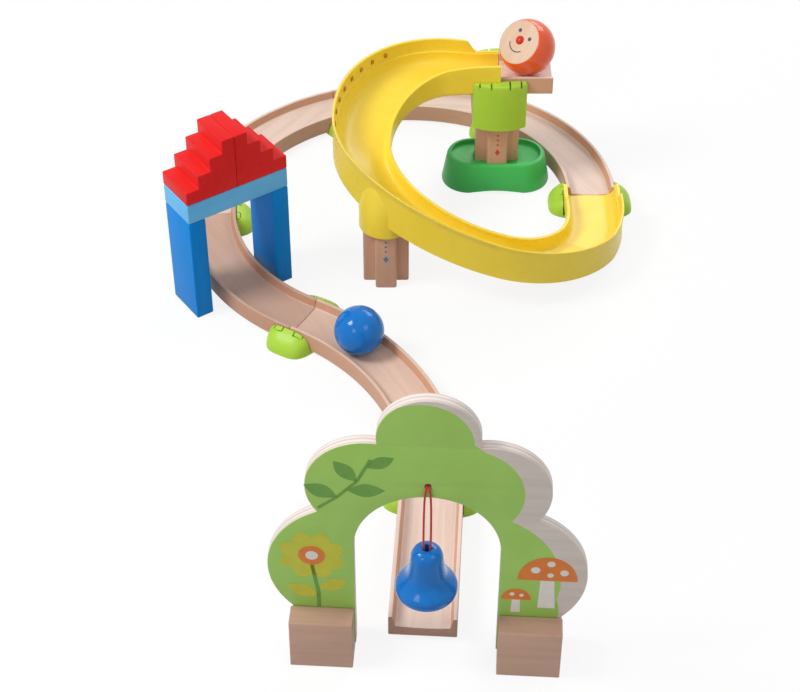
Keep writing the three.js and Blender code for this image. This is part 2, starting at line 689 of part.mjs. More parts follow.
function headWings() {
  const wings = new THREE.ExtrudeGeometry(headPlan(), {
    depth: HEAD_TOP - HEAD_BOTTOM - HEAD_ROUND,
    bevelSize: HEAD_ROUND,
    bevelOffset: -HEAD_ROUND,
    bevelThickness: HEAD_ROUND,
    bevelSegments: 2,
    curveSegments: 7,
  });
  wings.translate(0, 0, HEAD_BOTTOM);
  const far = HEAD_LENGTH;
  const below = box([-far, -far, HEAD_BOTTOM - 2 * HEAD_ROUND], [far, far, HEAD_BOTTOM]);
  return solid(wings).subtract(below);
}

function pillarHead() {
  const [x, y] = boardJoint;
  const before = straightPath(x, y, Math.PI);
  const body = connector({
    wings: headWings(),
    joint: before(0),
    before,
    after: chutePath,
    beforeHalf: TRACK_WIDTH / 2,
    afterHalf: CHUTE_WIDTH / 2,
    seat: HEAD_SEAT,
    top: HEAD_TOP,
    notchSize: HEAD_NOTCH,
    notchAt: HEAD_NOTCH_AT,
  });
  const socket = cylinder(x, y, HEAD_BOTTOM - CUT_MARGIN, headSocketTop, SOCKET_RADIUS);
  return body.subtract(socket).add(peg(before, -PEG_FROM_JOINT, HEAD_SEAT));
}
addPart('pillar_head', pillarHead(), LIGHT_GREEN);

// Block house, built across the loop with its x towards the loop's centre
function house() {
  const onTrack = trackPaths[HOUSE_TRACK].path(HOUSE_ALONG);
  const heading = onTrack.heading + Math.PI / 2;
  const x = onTrack.x + HOUSE_OUT * Math.sin(onTrack.heading);
  const y = onTrack.y - HOUSE_OUT * Math.cos(onTrack.heading);
  const half = HOUSE_WIDTH / 2;
  const inner = half - POST_THICKNESS;
  const rear = -HOUSE_AHEAD - HOUSE_DEPTH / 2;
  const front = -HOUSE_AHEAD + HOUSE_DEPTH / 2;
  const lintelBottom = POST_HEIGHT + GAP;
  const lintelTop = lintelBottom + LINTEL_HEIGHT;
  const roofBottom = lintelTop + GAP;
  const put = (name, body, colour) => addPart(name, placed(body, x, y, heading), colour);
  const block = (left, right, low, high) => roundedBox([left, rear, low], [right, front, high], BLOCK_ROUND);
  put('post_left', block(-half, -inner, 0, POST_HEIGHT), POST_BLUE);
  put('post_right', block(inner, half, 0, POST_HEIGHT), POST_BLUE);
  put('lintel', block(-half, half, lintelBottom, lintelTop), PALE_BLUE);
  const tread = (half - GAP / 2) / ROOF_STEPS;
  const riser = ROOF_HEIGHT / ROOF_STEPS;
  for (const side of [-1, 1]) {
    const shape = new THREE.Shape();
    shape.moveTo((side * GAP) / 2, roofBottom);
    shape.lineTo(side * half, roofBottom);
    for (let k = 0; k < ROOF_STEPS; k++) {
      shape.lineTo(side * (half - k * tread), roofBottom + (k + 1) * riser);
      shape.lineTo(side * (half - (k + 1) * tread), roofBottom + (k + 1) * riser);
    }
    shape.closePath();
    const geometry = new THREE.ExtrudeGeometry(shape, { depth: HOUSE_DEPTH, bevelEnabled: false });
    geometry.rotateX(Math.PI / 2);
    geometry.translate(0, front, 0);
    put(side < 0 ? 'roof_left' : 'roof_right', solid(geometry), RED);
  }
}
house();

// Tree gate, built with its front face on y = 0 and its middle on x = 0
function arcThrough(shape, [ax, ay], [bx, by], [cx, cy]) {
  const d = 2 * (ax * (by - cy) + bx * (cy - ay) + cx * (ay - by));
  const [a, b, c] = [ax * ax + ay * ay, bx * bx + by * by, cx * cx + cy * cy];
  const x = (a * (by - cy) + b * (cy - ay) + c * (ay - by)) / d;
  const y = (a * (cx - bx) + b * (ax - cx) + c * (bx - ax)) / d;
  const clockwise = (bx - ax) * (cy - ay) - (by - ay) * (cx - ax) < 0;
  const from = Math.atan2(ay - y, ax - x);
  const to = Math.atan2(cy - y, cx - x);
  shape.absarc(x, y, Math.hypot(ax - x, ay - y), from, to, clockwise);
}

function treePlate() {
  const [top, low] = TREE_NOTCHES;
  const [upperSide, lowerSide] = TREE_SIDES;
  const left = ([x, y]) => [-x, y];
  const foot = [LEG_OUTER, FOOT_BLOCK_HEIGHT];
  const shape = new THREE.Shape();
  shape.moveTo(OPENING_HALF, PLATE_BOTTOM);
  shape.lineTo(LEG_OUTER, PLATE_BOTTOM);
  shape.lineTo(...foot);
  arcThrough(shape, foot, lowerSide, low);
  arcThrough(shape, low, upperSide, top);
  arcThrough(shape, top, [0, PLATE_TOP], left(top));
  arcThrough(shape, left(top), left(upperSide), left(low));
  arcThrough(shape, left(low), left(lowerSide), left(foot));
  shape.lineTo(-LEG_OUTER, PLATE_BOTTOM);
  shape.lineTo(-OPENING_HALF, PLATE_BOTTOM);
  shape.lineTo(-OPENING_HALF, OPENING_SPRING);
  shape.absarc(0, OPENING_SPRING, OPENING_HALF, Math.PI, 0, true);
  shape.closePath();
  const hole = new THREE.Path();
  hole.absarc(0, CORD_HOLE_HEIGHT, CORD_HOLE_RADIUS, 0, 2 * Math.PI, true);
  shape.holes.push(hole);
  const depth = PLATE_THICKNESS;
  const geometry = new THREE.ExtrudeGeometry(shape, { depth, bevelEnabled: false, curveSegments: 9 });
  geometry.rotateX(Math.PI / 2);
  geometry.translate(0, PLATE_THICKNESS, 0);
  return solid(geometry);
}

function gateFoot(side) {
  const topFront = -FOOT_BLOCK_FRONT;
  const topBack = PLATE_THICKNESS + FOOT_BLOCK_BACK;
  const [inner, outer] = FOOT_BLOCK;
  const shape = new THREE.Shape();
  shape.moveTo(topFront - FOOT_BLOCK_SLOPE, 0);
  shape.lineTo(topBack + FOOT_BLOCK_SLOPE, 0);
  shape.lineTo(topBack, FOOT_BLOCK_HEIGHT);
  shape.lineTo(PLATE_THICKNESS + GAP, FOOT_BLOCK_HEIGHT);
  shape.lineTo(PLATE_THICKNESS + GAP, PLATE_BOTTOM - GAP);
  shape.lineTo(-GAP, PLATE_BOTTOM - GAP);
  shape.lineTo(-GAP, FOOT_BLOCK_HEIGHT);
  shape.lineTo(topFront, FOOT_BLOCK_HEIGHT);
  shape.closePath();
  const geometry = new THREE.ExtrudeGeometry(shape, { depth: outer - inner, bevelEnabled: false });
  geometry.rotateX(Math.PI / 2);
  geometry.rotateZ(Math.PI / 2);
  geometry.translate(side < 0 ? -outer : inner, 0, 0);
  return solid(geometry);
}

// Bell, hung on a cord in front of the plate: a round dome over a wide flare, with a blind hole for the cord
function bell() {
  const outline = new THREE.Path();
  outline.moveTo(0, BELL_HEIGHT);
  outline.bezierCurveTo(9, BELL_HEIGHT, 13, BELL_HEIGHT - 4, 13.5, BELL_HEIGHT - 13);
  outline.bezierCurveTo(14, BELL_HEIGHT - 22, 20, 19, BELL_LIP_RADIUS - 0.4, 10);
  outline.bezierCurveTo(BELL_LIP_RADIUS + 0.4, 6, BELL_LIP_RADIUS, 1.5, BELL_LIP_RADIUS - 2.4, 0);
  outline.lineTo(BELL_LIP_RADIUS - 5, 0);
  outline.bezierCurveTo(BELL_LIP_RADIUS - 4, 8, 12, 18, 10.5, CLAPPER_PIVOT - 4);
  outline.lineTo(0, CLAPPER_PIVOT - 3);
  const geometry = new THREE.LatheGeometry(outline.getPoints(5), 24);
  geometry.rotateX(Math.PI / 2);
  const cordRoom = CORD_SPREAD + CORD_RADIUS + GAP;
  const holeBottom = BELL_HEIGHT - CROWN_HOLE_DEPTH;
  const crownHole = cylinder(0, 0, holeBottom, BELL_HEIGHT + CUT_MARGIN, cordRoom, cordRoom, 16);
  const socket = sphere(0, 0, CLAPPER_PIVOT, CLAPPER_HEAD + GAP, 12, 8);
  const mouth = cylinder(0, 0, CLAPPER_PIVOT - 4, CLAPPER_PIVOT, 3.3, 1.7, 12);
  return solid(geometry).subtract(crownHole).subtract(socket).subtract(mouth);
}

function clapper() {
  const points = [];
  const ball = (centre, radius, from, to, steps) => {
    for (let i = 0; i <= steps; i++) {
      const angle = THREE.MathUtils.lerp(from, to, i / steps);
      points.push(new THREE.Vector2(radius * Math.sin(angle), centre + radius * Math.cos(angle)));
    }
  };
  const neckTop = Math.PI - Math.asin(CLAPPER_ROD / CLAPPER_HEAD);
  const neckLow = Math.asin(CLAPPER_ROD / CLAPPER_BALL);
  ball(CLAPPER_PIVOT, CLAPPER_HEAD, 0, neckTop, 5);
  ball(CLAPPER_PIVOT - CLAPPER_DROP, CLAPPER_BALL, neckLow, Math.PI, 8);
  points[0].x = 0;
  points[points.length - 1].x = 0;
  const geometry = new THREE.LatheGeometry(points, 14);
  geometry.rotateX(Math.PI / 2);
  return solid(geometry);
}

// Cord: from the knot through the hole, down into the bell's crown and back
function bellCord() {
  const hole = CORD_HOLE_HEIGHT;
  const inHole = CORD_RADIUS + GAP / 2;
  const low = BELL_LIP_HEIGHT + BELL_HEIGHT - CROWN_HOLE_DEPTH + CORD_RADIUS + GAP;
  const knotFront = PLATE_THICKNESS + 2 * GAP;
  const half = [
    [inHole, knotFront, hole],
    [inHole, PLATE_THICKNESS / 2, hole],
    [inHole, 0.6, hole - 0.2],
    [inHole + 0.2, -CORD_FORWARD + 0.4, hole - 1.6],
    [CORD_SPREAD - 0.6, -CORD_FORWARD, hole - 7],
    [CORD_SPREAD, -CORD_FORWARD, hole - 22],
    [CORD_SPREAD, -CORD_FORWARD, low + 6],
    [CORD_SPREAD - 0.3, -CORD_FORWARD, low + 1.6],
  ];
  const points = [
    ...half.map(([x, y, z]) => new THREE.Vector3(-x, y, z)),
    new THREE.Vector3(0, -CORD_FORWARD, low),
    ...half.reverse().map(([x, y, z]) => new THREE.Vector3(x, y, z)),
  ];
  const circle = new THREE.Shape();
  circle.absarc(0, 0, CORD_RADIUS, 0, 2 * Math.PI, false);
  const extrudePath = new THREE.CatmullRomCurve3(points);
  const settings = { steps: 56, extrudePath, bevelEnabled: false, curveSegments: 4 };
  return solid(new THREE.ExtrudeGeometry(circle, settings));
}

function gate() {
  const heading = spot.heading;
  const turned = heading - (3 * Math.PI) / 2;
  const end = straightPath(spot.x, spot.y, heading)(END_LENGTH + GATE_FORWARD + GAP);
  const put = (name, body, colour) => {
    addPart(name, placed(body.translate([GATE_ASIDE, 0, 0]), end.x, end.y, turned), colour);
  };
  const hung = (body) => body.translate([0, -CORD_FORWARD, BELL_LIP_HEIGHT]);
  const knotY = PLATE_THICKNESS + 3 * GAP + KNOT_RADIUS;
  put('tree_arch', treePlate(), LEAF_GREEN);
  put('gate_foot_left', gateFoot(-1), BEECH);
  put('gate_foot_right', gateFoot(1), BEECH);
  put('bell', hung(bell()), GLOSS_BLUE);
  put('bell_clapper', hung(clapper()), GLOSS_BLUE);
  put('bell_cord', bellCord(), CORD_RED);
  put('cord_knot', sphere(0, knotY, CORD_HOLE_HEIGHT, KNOT_RADIUS, 12, 8), CORD_RED);
}
gate();

// Balls rest on the rounded inner edges of the channel
function ballHeight(radius, top) {
  const edge = TRACK_WIDTH / 2 - TRACK_WALL + TRACK_ROUND;
  const reach = radius + TRACK_ROUND + GAP;
  return top - TRACK_ROUND + Math.sqrt(reach ** 2 - edge ** 2);
}

const endJoint = joints[CURVE_RADII.length - 1];
const endCentre = [
  endJoint.x + END_RADIUS * Math.sin(endJoint.heading),
  endJoint.y - END_RADIUS * Math.cos(endJoint.heading),
];
const blueX = endCentre[0] + END_RADIUS * Math.cos(BLUE_BALL_ANGLE);
const blueY = endCentre[1] + END_RADIUS * Math.sin(BLUE_BALL_ANGLE);
const blueZ = ballHeight(BLUE_BALL_RADIUS, TRACK_TOP);
addPart('blue_ball', sphere(blueX, blueY, blueZ, BLUE_BALL_RADIUS), GLOSS_BLUE);

// Face ball: a ball with a flat face cut on it and a small domed nose let into the face
function nose() {
  const points = [new THREE.Vector2(0, -NOSE_DEPTH), new THREE.Vector2(NOSE_RADIUS, -NOSE_DEPTH)];
  for (let i = 0; i <= 5; i++) {
    const angle = (i * Math.PI) / 10;
    points.push(new THREE.Vector2(NOSE_RADIUS * Math.cos(angle), NOSE_RISE * Math.sin(angle)));
  }
  points[points.length - 1].x = 0;
  const geometry = new THREE.LatheGeometry(points, 16);
  geometry.rotateX(Math.PI / 2);
  return solid(geometry);
}

function faceBall() {
  const [x, y] = boardJoint;
  const place = [x + FACE_BALL_ALONG, y, ballHeight(FACE_BALL_RADIUS, BOARD_BOTTOM + TRACK_HEIGHT)];
  const turned = (body) => body.rotate([90 - FACE_RISE, 0, 0]).rotate([0, 0, FACE_TURN]).translate(place);
  const far = FACE_BALL_RADIUS + CUT_MARGIN;
  const cut = cylinder(0, 0, FACE_SEAT, far, FACE_BALL_RADIUS);
  const seatRadius = NOSE_RADIUS + GAP;
  const seat = cylinder(0, NOSE_ABOVE, FACE_SEAT - NOSE_DEPTH - GAP, far, seatRadius, seatRadius, 16);
  const ball = sphere(0, 0, 0, FACE_BALL_RADIUS).subtract(cut).subtract(seat);
  addPart('face_ball', turned(ball), ORANGE);
  addPart('face_nose', turned(nose().translate([0, NOSE_ABOVE, FACE_SEAT])), RED);
}
faceBall();

// The frame's origin is the middle of the object's footprint
const bounds = new THREE.Box3().setFromObject(part);
const middle = bounds.getCenter(new THREE.Vector3());
for (const mesh of part.children) {
  mesh.geometry.translate(-middle.x, -middle.y, -bounds.min.z);
}

export default part;
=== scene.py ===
import json
import math

import bmesh
import bpy
from mathutils import Matrix, Vector

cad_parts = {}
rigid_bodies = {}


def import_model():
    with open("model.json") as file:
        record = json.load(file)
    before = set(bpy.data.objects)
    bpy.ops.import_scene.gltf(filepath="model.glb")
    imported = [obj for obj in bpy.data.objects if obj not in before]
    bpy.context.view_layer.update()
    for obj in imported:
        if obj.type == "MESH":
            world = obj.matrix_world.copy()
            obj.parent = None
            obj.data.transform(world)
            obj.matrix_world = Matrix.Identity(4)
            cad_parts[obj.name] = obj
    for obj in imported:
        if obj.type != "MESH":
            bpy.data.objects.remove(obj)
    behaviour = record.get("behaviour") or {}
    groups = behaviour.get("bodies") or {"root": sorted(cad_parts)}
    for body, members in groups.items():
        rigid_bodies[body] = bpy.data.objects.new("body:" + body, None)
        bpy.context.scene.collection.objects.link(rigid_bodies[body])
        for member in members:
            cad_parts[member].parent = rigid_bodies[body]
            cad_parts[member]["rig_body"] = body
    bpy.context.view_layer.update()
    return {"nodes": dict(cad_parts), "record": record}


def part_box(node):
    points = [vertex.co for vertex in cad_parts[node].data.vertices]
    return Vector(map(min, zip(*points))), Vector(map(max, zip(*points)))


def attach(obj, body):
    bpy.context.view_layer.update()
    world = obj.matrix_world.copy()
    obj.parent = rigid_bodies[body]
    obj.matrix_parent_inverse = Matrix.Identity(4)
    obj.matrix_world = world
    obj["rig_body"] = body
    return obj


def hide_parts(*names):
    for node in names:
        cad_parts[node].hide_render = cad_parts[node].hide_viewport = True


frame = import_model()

# Sizes in millimetres, and places in the layout's own frame
MM = 0.001
GAP = 0.3
BOARD_JOINT = (97.0, 262.0)
LOOP_START = (190.0, 216.7)
CURVE_RADII = (166, 195, 195, 195, 230)
CURVE_DEGREES = (60, 52, 70, 58, 63.5)
CURVE_STEPS = 60
TRACK_WIDTH = 48
TRACK_HEIGHT = 18
TRACK_BOTTOM = 2.8
TRACK_CHAMFER = 0.6
TRACK_END_ROUND = 0.5
RIM_WIDTH = 3.4
RIM_ROUND = 1.1
WALL_SLANT = 1.6
CHANNEL_DEPTH = 9
CHANNEL_CORNER = 2
CHANNEL_HOLLOW = 1
END_LENGTH = 152
END_WIDTH = 53
END_HEIGHT = 20.5
BOARD_LENGTH = 51
BOARD_BOTTOM = 117
STRAIGHT_STEPS = 4

CONNECTOR_REACH = 41.6
CONNECTOR_HALF = 26
CONNECTOR_RISE = 23.2
CONNECTOR_POWERS = (2, 4, 2)
CONNECTOR_TOP = 19
CONNECTOR_SEAT = 2.5
HEAD_HALF = 26
HEAD_EDGE = 28.6
HEAD_FRONT = 36.5
HEAD_BOTTOM = 81
HEAD_SEAT = 116.7
HEAD_TOP = 132
HEAD_SOCKET = (23.2, 110)
# Heights on the pillar head, and how far its outline is drawn in there
HEAD_RINGS = (
    (HEAD_BOTTOM, 0.8), (HEAD_BOTTOM + 0.8, 0), (HEAD_TOP - 5, 0),
    (HEAD_TOP - 2, 0), (HEAD_TOP - 0.8, 0.4), (HEAD_TOP, 1.4),
)
# Snap tabs: length, width and depth of the slits round them, reach from the track, place along it
CONNECTOR_TABS = (9, 1.2, 4, 4.6, 10.5)
HEAD_TABS = (11, 1.6, 4, 40, 14.5)
HOLDER_ROOM = 0.7
HOLDER_REACH = 60
JOINT_LAP = 0.01

CHUTE_WIDTH = 55
CHUTE_WALL = 2.6
CHUTE_FLOOR = 3
CHUTE_INNER_WALL = 16.5
CHUTE_OUTER_WALL = 26
CHUTE_RIM_ROUND = 0.8
CHUTE_RIM_DROP = 0.1
# Beads along the rims: how far they stand out, their height, and the slope under them
INNER_BEAD = (1, 2.2, 0.3)
OUTER_BEAD = (0.5, 2.8, 0.4)
CHUTE_LEDGE = (1.8, 13)
LEDGE_ROUND = 0.4
LEDGE_FILLET = (0.3, 0.1, 0.5)
CHUTE_INNER_CORNER = 8
CHUTE_OUTER_CORNER = 12
CHUTE_EDGE_CORNER = 4
CHUTE_BANK = 24
BANK_POWER = 1.5
CHUTE_ENTRY_STRAIGHT = 49
CHUTE_TURNS = ((84, 95), (131.5, 88), (94.5, 92.5))
CHUTE_EXIT_STRAIGHT = 45.2
CHUTE_LEVEL_START = 27
CHUTE_LEVEL_END = 88
CHUTE_FALL_EASE = 0.5
CHUTE_FALL_POWER = 1.2
CHUTE_ENTRY_FLOOR = 120
CHUTE_EXIT_FLOOR = 11.5
CHUTE_STEPS = 240
SKIRT_BANK = 0.48
SKIRT_REST = 0.1
LOW_WALL = 13.5
LOW_WALL_LENGTH = 27
LOW_WALL_EASE = 5.4
LOW_WALL_REST = 0.04
ENTRY_HIGH_WALL = 13
ENTRY_HIGH_LENGTH = 150
ENTRY_HIGH_RIM = 2
CHUTE_FOOT = (30, 18)
CHUTE_FOOT_TOP = CHUTE_EXIT_FLOOR - 1
BUMP_COUNT = 12
BUMP_SIZE = (1.2, 4, 2.6)
BUMP_EDGE = (0.4, 0.5)
BUMP_SUNK = 0.5
BUMP_BELOW_RIM = 5
BUMP_RANGE = (100, 244)
BOSS_BOTTOM = 60
BOSS_STRAIGHT = 24
BOSS_TOP = 114
BOSS_LEAN = 8
BOSS_RADIUS = 25.2
BOSS_CHAMFER = 0.6
BOSS_SOCKET = (23.2, 9)
BOSS_MOUTH = 0.5
FRONT_PILLAR_ALONG = 253.4

HOUSE_TURN = math.radians(35)
PILLAR_ARM_FRONT = 21.5
PLATE_THICKNESS = 9
PLATE_ROUND = 0.7
PLATE_TOP = 259
PLATE_BOTTOM = 6
PLY_LAYER = 1.8
OPENING_HALF = 53
OPENING_SPRING = 114
LEG_OUTER = 100
FOOT_BLOCK_HEIGHT = 46
TREE_NOTCHES = ((36, 217), (79, 148))
TREE_SIDES = ((80.4, 196.8), (117, 88))
PRINT_LIFT = 0.08
PRINT_LAYER = 0.04
PRINT_BLUR = 0.25
MARK_DOT = 1.2
MARK_DIAMOND = (2.6, 4)
CORD_HOLE_RADIUS = 2.4
CORD_RADIUS = 0.8
CORD_FORWARD = 1.9
CORD_SPREAD = 2.5
KNOT_RADIUS = 3.4
KNOT_DEPTH = 1.6
BELL_LIP_RADIUS = 23
BELL_HEIGHT = 46
BELL_GROOVE = 0.5
CROWN_HOLE_DEPTH = 7
CLAPPER_PIVOT = 32
FACE_BALL_RADIUS = 27
FACE_SEAT = 16.3
FACE_RISE = math.radians(41)
FACE_TURN = math.radians(-47)
SMILE_ROLL = math.radians(-14)
SMILE_RADIUS = 10
SMILE_DEGREES = (212, 328)
SMILE_WIDTH = 1.1
EYE = (7.5, 9, 2)
ROUND_SIDES = 72

# The photograph's camera, and the light; the floor's size and drop are in metres
CAMERA_LENS = 80.4
CAMERA_SENSOR = 36
CAMERA_PLACE = (0, -1230.2, 1069.4)
CAMERA_TILT = math.radians(49)
FLOOR_SIZE = 6
FLOOR_DROP = 0.0002
FLOOR_BOUNCE = 0.5
FLOOR_PALE = 0.95
FLOOR_GLOW = 0.86
WORLD_LIGHT = 0.4
WHITE = (1, 1, 1, 1)

scene = bpy.context.scene
nodes = frame["nodes"]
moves = {move["name"]: move for move in frame["record"]["behaviour"]["joints"]}


def middle(node):
    """The middle of a node's box."""
    low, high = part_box(node)
    return (low + high) / 2


def standing(spot, turn):
    """A frame at a point of the part, turned about the upright."""
    return Matrix.Translation(spot) @ Matrix.Rotation(turn, 4, "Z")


# Frames of the layout, the gate and the house
board_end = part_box("start_board")[0].x / MM - GAP / 2
OFFSET = Vector((board_end - BOARD_JOINT[0], middle("start_board").y / MM - BOARD_JOINT[1], 0))
cord_hole = Vector(moves["cord_swing"]["pos_m"])
gate_across = moves["bell_tip"]["axis"]
GATE_FRAME = standing((cord_hole.x, cord_hole.y, 0), math.atan2(gate_across[1], gate_across[0]))
HOUSE_FRAME = standing(middle("lintel"), HOUSE_TURN)
CORD_HOLE_HEIGHT = cord_hole.z / MM
BELL_LIP_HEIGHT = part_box("bell")[0].z / MM


def place(x, y, z):
    """A point of the layout in millimetres, as a point of the part in metres."""
    return (Vector((x, y, z)) + OFFSET) * MM


# Camera at the photograph's angle
camera = bpy.data.cameras.new("camera")
camera.lens = CAMERA_LENS
camera.sensor_width = CAMERA_SENSOR
camera_object = bpy.data.objects.new("camera", camera)
camera_object.location = place(*CAMERA_PLACE)
camera_object.rotation_euler = (CAMERA_TILT, 0, 0)
scene.collection.objects.link(camera_object)
scene.camera = camera_object
scene.view_settings.view_transform = "Standard"


def linear(red, green, blue):
    """A colour given in screen values, as the shader takes it."""
    def channel(value):
        value /= 255
        return value / 12.92 if value <= 0.04045 else ((value + 0.055) / 1.055) ** 2.4
    return (channel(red), channel(green), channel(blue), 1)


class Tree:
    """A material's node tree with short calls for its usual pieces."""

    def __init__(self, name):
        self.material = bpy.data.materials.new(name)
        self.material.use_nodes = True
        self.tree = self.material.node_tree
        self.shader = self.tree.nodes["Principled BSDF"]

    def node(self, kind, **inputs):
        made = self.tree.nodes.new(kind)
        for key, value in inputs.items():
            self.put(made, key, value)
        return made

    def put(self, target, key, value):
        """Sets or links an input by its name, or by its number as in _2."""
        socket = target.inputs[int(key[1:])] if key[0] == "_" else target.inputs[key]
        if isinstance(value, bpy.types.NodeSocket):
            self.tree.links.new(value, socket)
        else:
            socket.default_value = value

    def set(self, **values):
        for key, value in values.items():
            self.put(self.shader, key.replace("_", " "), value)

    def math(self, operation, *values):
        made = self.node("ShaderNodeMath", **{f"_{i}": value for i, value in enumerate(values)})
        made.operation = operation
        return made.outputs[0]

    def scaled(self, value, factor, offset=0.0):
        return self.math("MULTIPLY_ADD", value, factor, offset)

    def step(self, value, low, high):
        made = self.node("ShaderNodeMapRange", _0=value, _1=low, _2=high, _3=0.0, _4=1.0)
        made.interpolation_type = "SMOOTHSTEP"
        return made.outputs[0]

    def mix(self, factor, a, b):
        """Mixes two colours, each a socket or three screen values."""
        made = self.tree.nodes.new("ShaderNodeMix")
        made.data_type = "RGBA"
        self.put(made, "_0", factor)
        for key, colour in (("_6", a), ("_7", b)):
            self.put(made, key, linear(*colour) if isinstance(colour, tuple) else colour)
        return made.outputs[2]

    def mottle(self, tone, dark, light):
        """Two colours mixed by a noise, whose values mostly lie between 0.3 and 0.7."""
        return self.mix(self.step(tone, 0.3, 0.7), dark, light)

    def noise(self, vector, scale, detail=3.0, roughness=0.55):
        made = self.node(
            "ShaderNodeTexNoise", Vector=vector, Scale=scale, Detail=detail, Roughness=roughness,
        )
        return made.outputs["Fac"]

    def coordinates(self):
        return self.node("ShaderNodeTexCoord").outputs["Object"]

    def normal(self):
        return self.node("ShaderNodeTexCoord").outputs["Normal"]

    def stretched(self, vector, axis, share):
        scale = tuple(share if i == axis else 1.0 for i in range(3))
        made = self.node("ShaderNodeVectorMath", _0=vector, _1=scale)
        made.operation = "MULTIPLY"
        return made.outputs[0]

    def split(self, vector):
        return self.node("ShaderNodeSeparateXYZ", _0=vector).outputs

    def bump(self, height, distance, strength=1.0):
        made = self.node("ShaderNodeBump", Strength=strength, Distance=distance, Height=height)
        self.set(Normal=made.outputs[0])


def wood(name, top, side, end, axis=0):
    """Bare beech: a paler top and browner sides as painted light and shade, fine streaks and flecks, darker
    end grain.
    """
    t = Tree(name)
    where = t.coordinates()
    facing = t.split(t.normal())
    streak = t.noise(t.stretched(where, axis, 0.03), scale=190, detail=5, roughness=0.6)
    broad = t.noise(t.stretched(where, axis, 0.15), scale=30)
    fleck = t.noise(t.stretched(where, axis, 0.1), scale=1500, detail=2)
    ring = t.noise(t.stretched(where, 2, 3.0), scale=420, detail=4)
    tone = t.math("ADD", t.scaled(streak, 0.65), t.scaled(broad, 0.35))
    # Painted light and shade: faces that look up take the lit top colour, the others the darker, browner
    # shaded side colour
    colour = t.mix(t.step(facing[2], 0.25, 0.9), side, top)
    colour = t.mix(t.scaled(t.step(tone, 0.62, 0.36), 0.22), colour, end)
    colour = t.mix(t.scaled(t.step(fleck, 0.58, 0.7), 0.2), colour, end)
    grain_end = t.mix(t.scaled(t.step(ring, 0.4, 0.65), 0.35), end, side)
    colour = t.mix(t.step(t.math("ABSOLUTE", facing[axis]), 0.8, 0.93), colour, grain_end)
    t.set(Base_Color=colour, Roughness=t.scaled(streak, 0.2, 0.38))
    t.bump(t.math("ADD", streak, t.scaled(fleck, 0.5)), distance=0.2 * MM, strength=0.4)
    return t.material


def plastic(name, light, dark, roughness):
    """Moulded plastic: faint clouds in colour and gloss, a fine moulded texture."""
    t = Tree(name)
    where = t.coordinates()
    cloud = t.noise(where, scale=14)
    gloss = t.noise(where, scale=60, detail=4)
    t.set(Base_Color=t.mottle(cloud, dark, light), Roughness=t.scaled(gloss, 0.12, roughness))
    t.set(Specular_IOR_Level=0.32)
    t.bump(t.noise(where, scale=900, detail=2), distance=0.03 * MM, strength=0.2)
    return t.material


def paint(name, light, dark, roughness, axis=2):
    """Paint on wood: the grain shows faintly through."""
    t = Tree(name)
    where = t.coordinates()
    streak = t.noise(t.stretched(where, axis, 0.04), scale=260, detail=5, roughness=0.6)
    cloud = t.noise(where, scale=22)
    tone = t.math("ADD", t.scaled(streak, 0.5), t.scaled(cloud, 0.5))
    colour = t.mix(t.step(tone, 0.35, 0.65), dark, light)
    t.set(Base_Color=colour, Roughness=t.scaled(streak, 0.15, roughness))
    t.set(Specular_IOR_Level=0.14)
    t.bump(streak, distance=0.1 * MM, strength=0.3)
    return t.material


def lacquer(name, light, dark, axis=2):
    """Glossy lacquer on turned wood."""
    t = Tree(name)
    where = t.coordinates()
    streak = t.noise(t.stretched(where, axis, 0.1), scale=160, detail=4)
    gloss = t.noise(where, scale=90, detail=4)
    t.set(Base_Color=t.mottle(streak, dark, light), Roughness=t.scaled(gloss, 0.05, 0.16))
    t.set(Specular_IOR_Level=0.12, Coat_Weight=0.3, Coat_Roughness=0.03)
    t.bump(t.noise(where, scale=500, detail=2), distance=0.02 * MM, strength=0.1)
    return t.material


def cord_material(name, light, dark):
    """Twisted cord: diagonal strands with fine fibres."""
    t = Tree(name)
    where = t.coordinates()
    x, y, z = t.split(where)
    turn = t.math("ADD", t.scaled(z, 5200), t.scaled(t.math("ADD", x, y), 2600))
    strand = t.scaled(t.math("SINE", turn), 0.5, 0.5)
    fibre = t.noise(where, scale=5000, detail=2)
    t.set(Base_Color=t.mix(strand, dark, light), Roughness=t.scaled(fibre, 0.2, 0.7))
    t.set(Sheen_Weight=0.3, Sheen_Roughness=0.5)
    t.bump(t.math("ADD", strand, t.scaled(fibre, 0.3)), distance=0.2 * MM, strength=0.8)
    return t.material


def ink(name, light, dark):
    """Printed ink: matt, with a faint mottle."""
    t = Tree(name)
    where = t.coordinates()
    cloud = t.noise(where, scale=90, detail=4)
    t.set(Base_Color=t.mottle(cloud, dark, light), Roughness=t.scaled(t.noise(where, scale=400), 0.15, 0.45))
    return t.material


# Beech colours: a lit top and a shaded side as painted light and shade, and the darker end grain
WOOD_LIT_TOP = (233, 209, 194)
WOOD_SHADED_SIDE = (216, 166, 136)
WOOD_END = (172, 132, 116)
beech = [wood(f"beech_{axis}", WOOD_LIT_TOP, WOOD_SHADED_SIDE, WOOD_END, i) for i, axis in enumerate("xyz")]
# The last two curves are browner than the rest
brown_beech = wood("brown_beech", (198, 163, 143), (200, 150, 122), WOOD_END)
warm_beech = wood("warm_beech", (222, 190, 171), (212, 162, 132), WOOD_END)
track_beech = {"curve_track_4": brown_beech, "curve_track_5": warm_beech}
# Gate feet: the tops are painted darker than the sides, a painted shadow of the plate
shaded_top_foot_beech = wood("shaded_top_foot_beech", (186, 148, 128), (206, 166, 144), (146, 108, 92))
yellow = plastic("yellow_plastic", (250, 222, 72), (248, 218, 64), roughness=0.22)
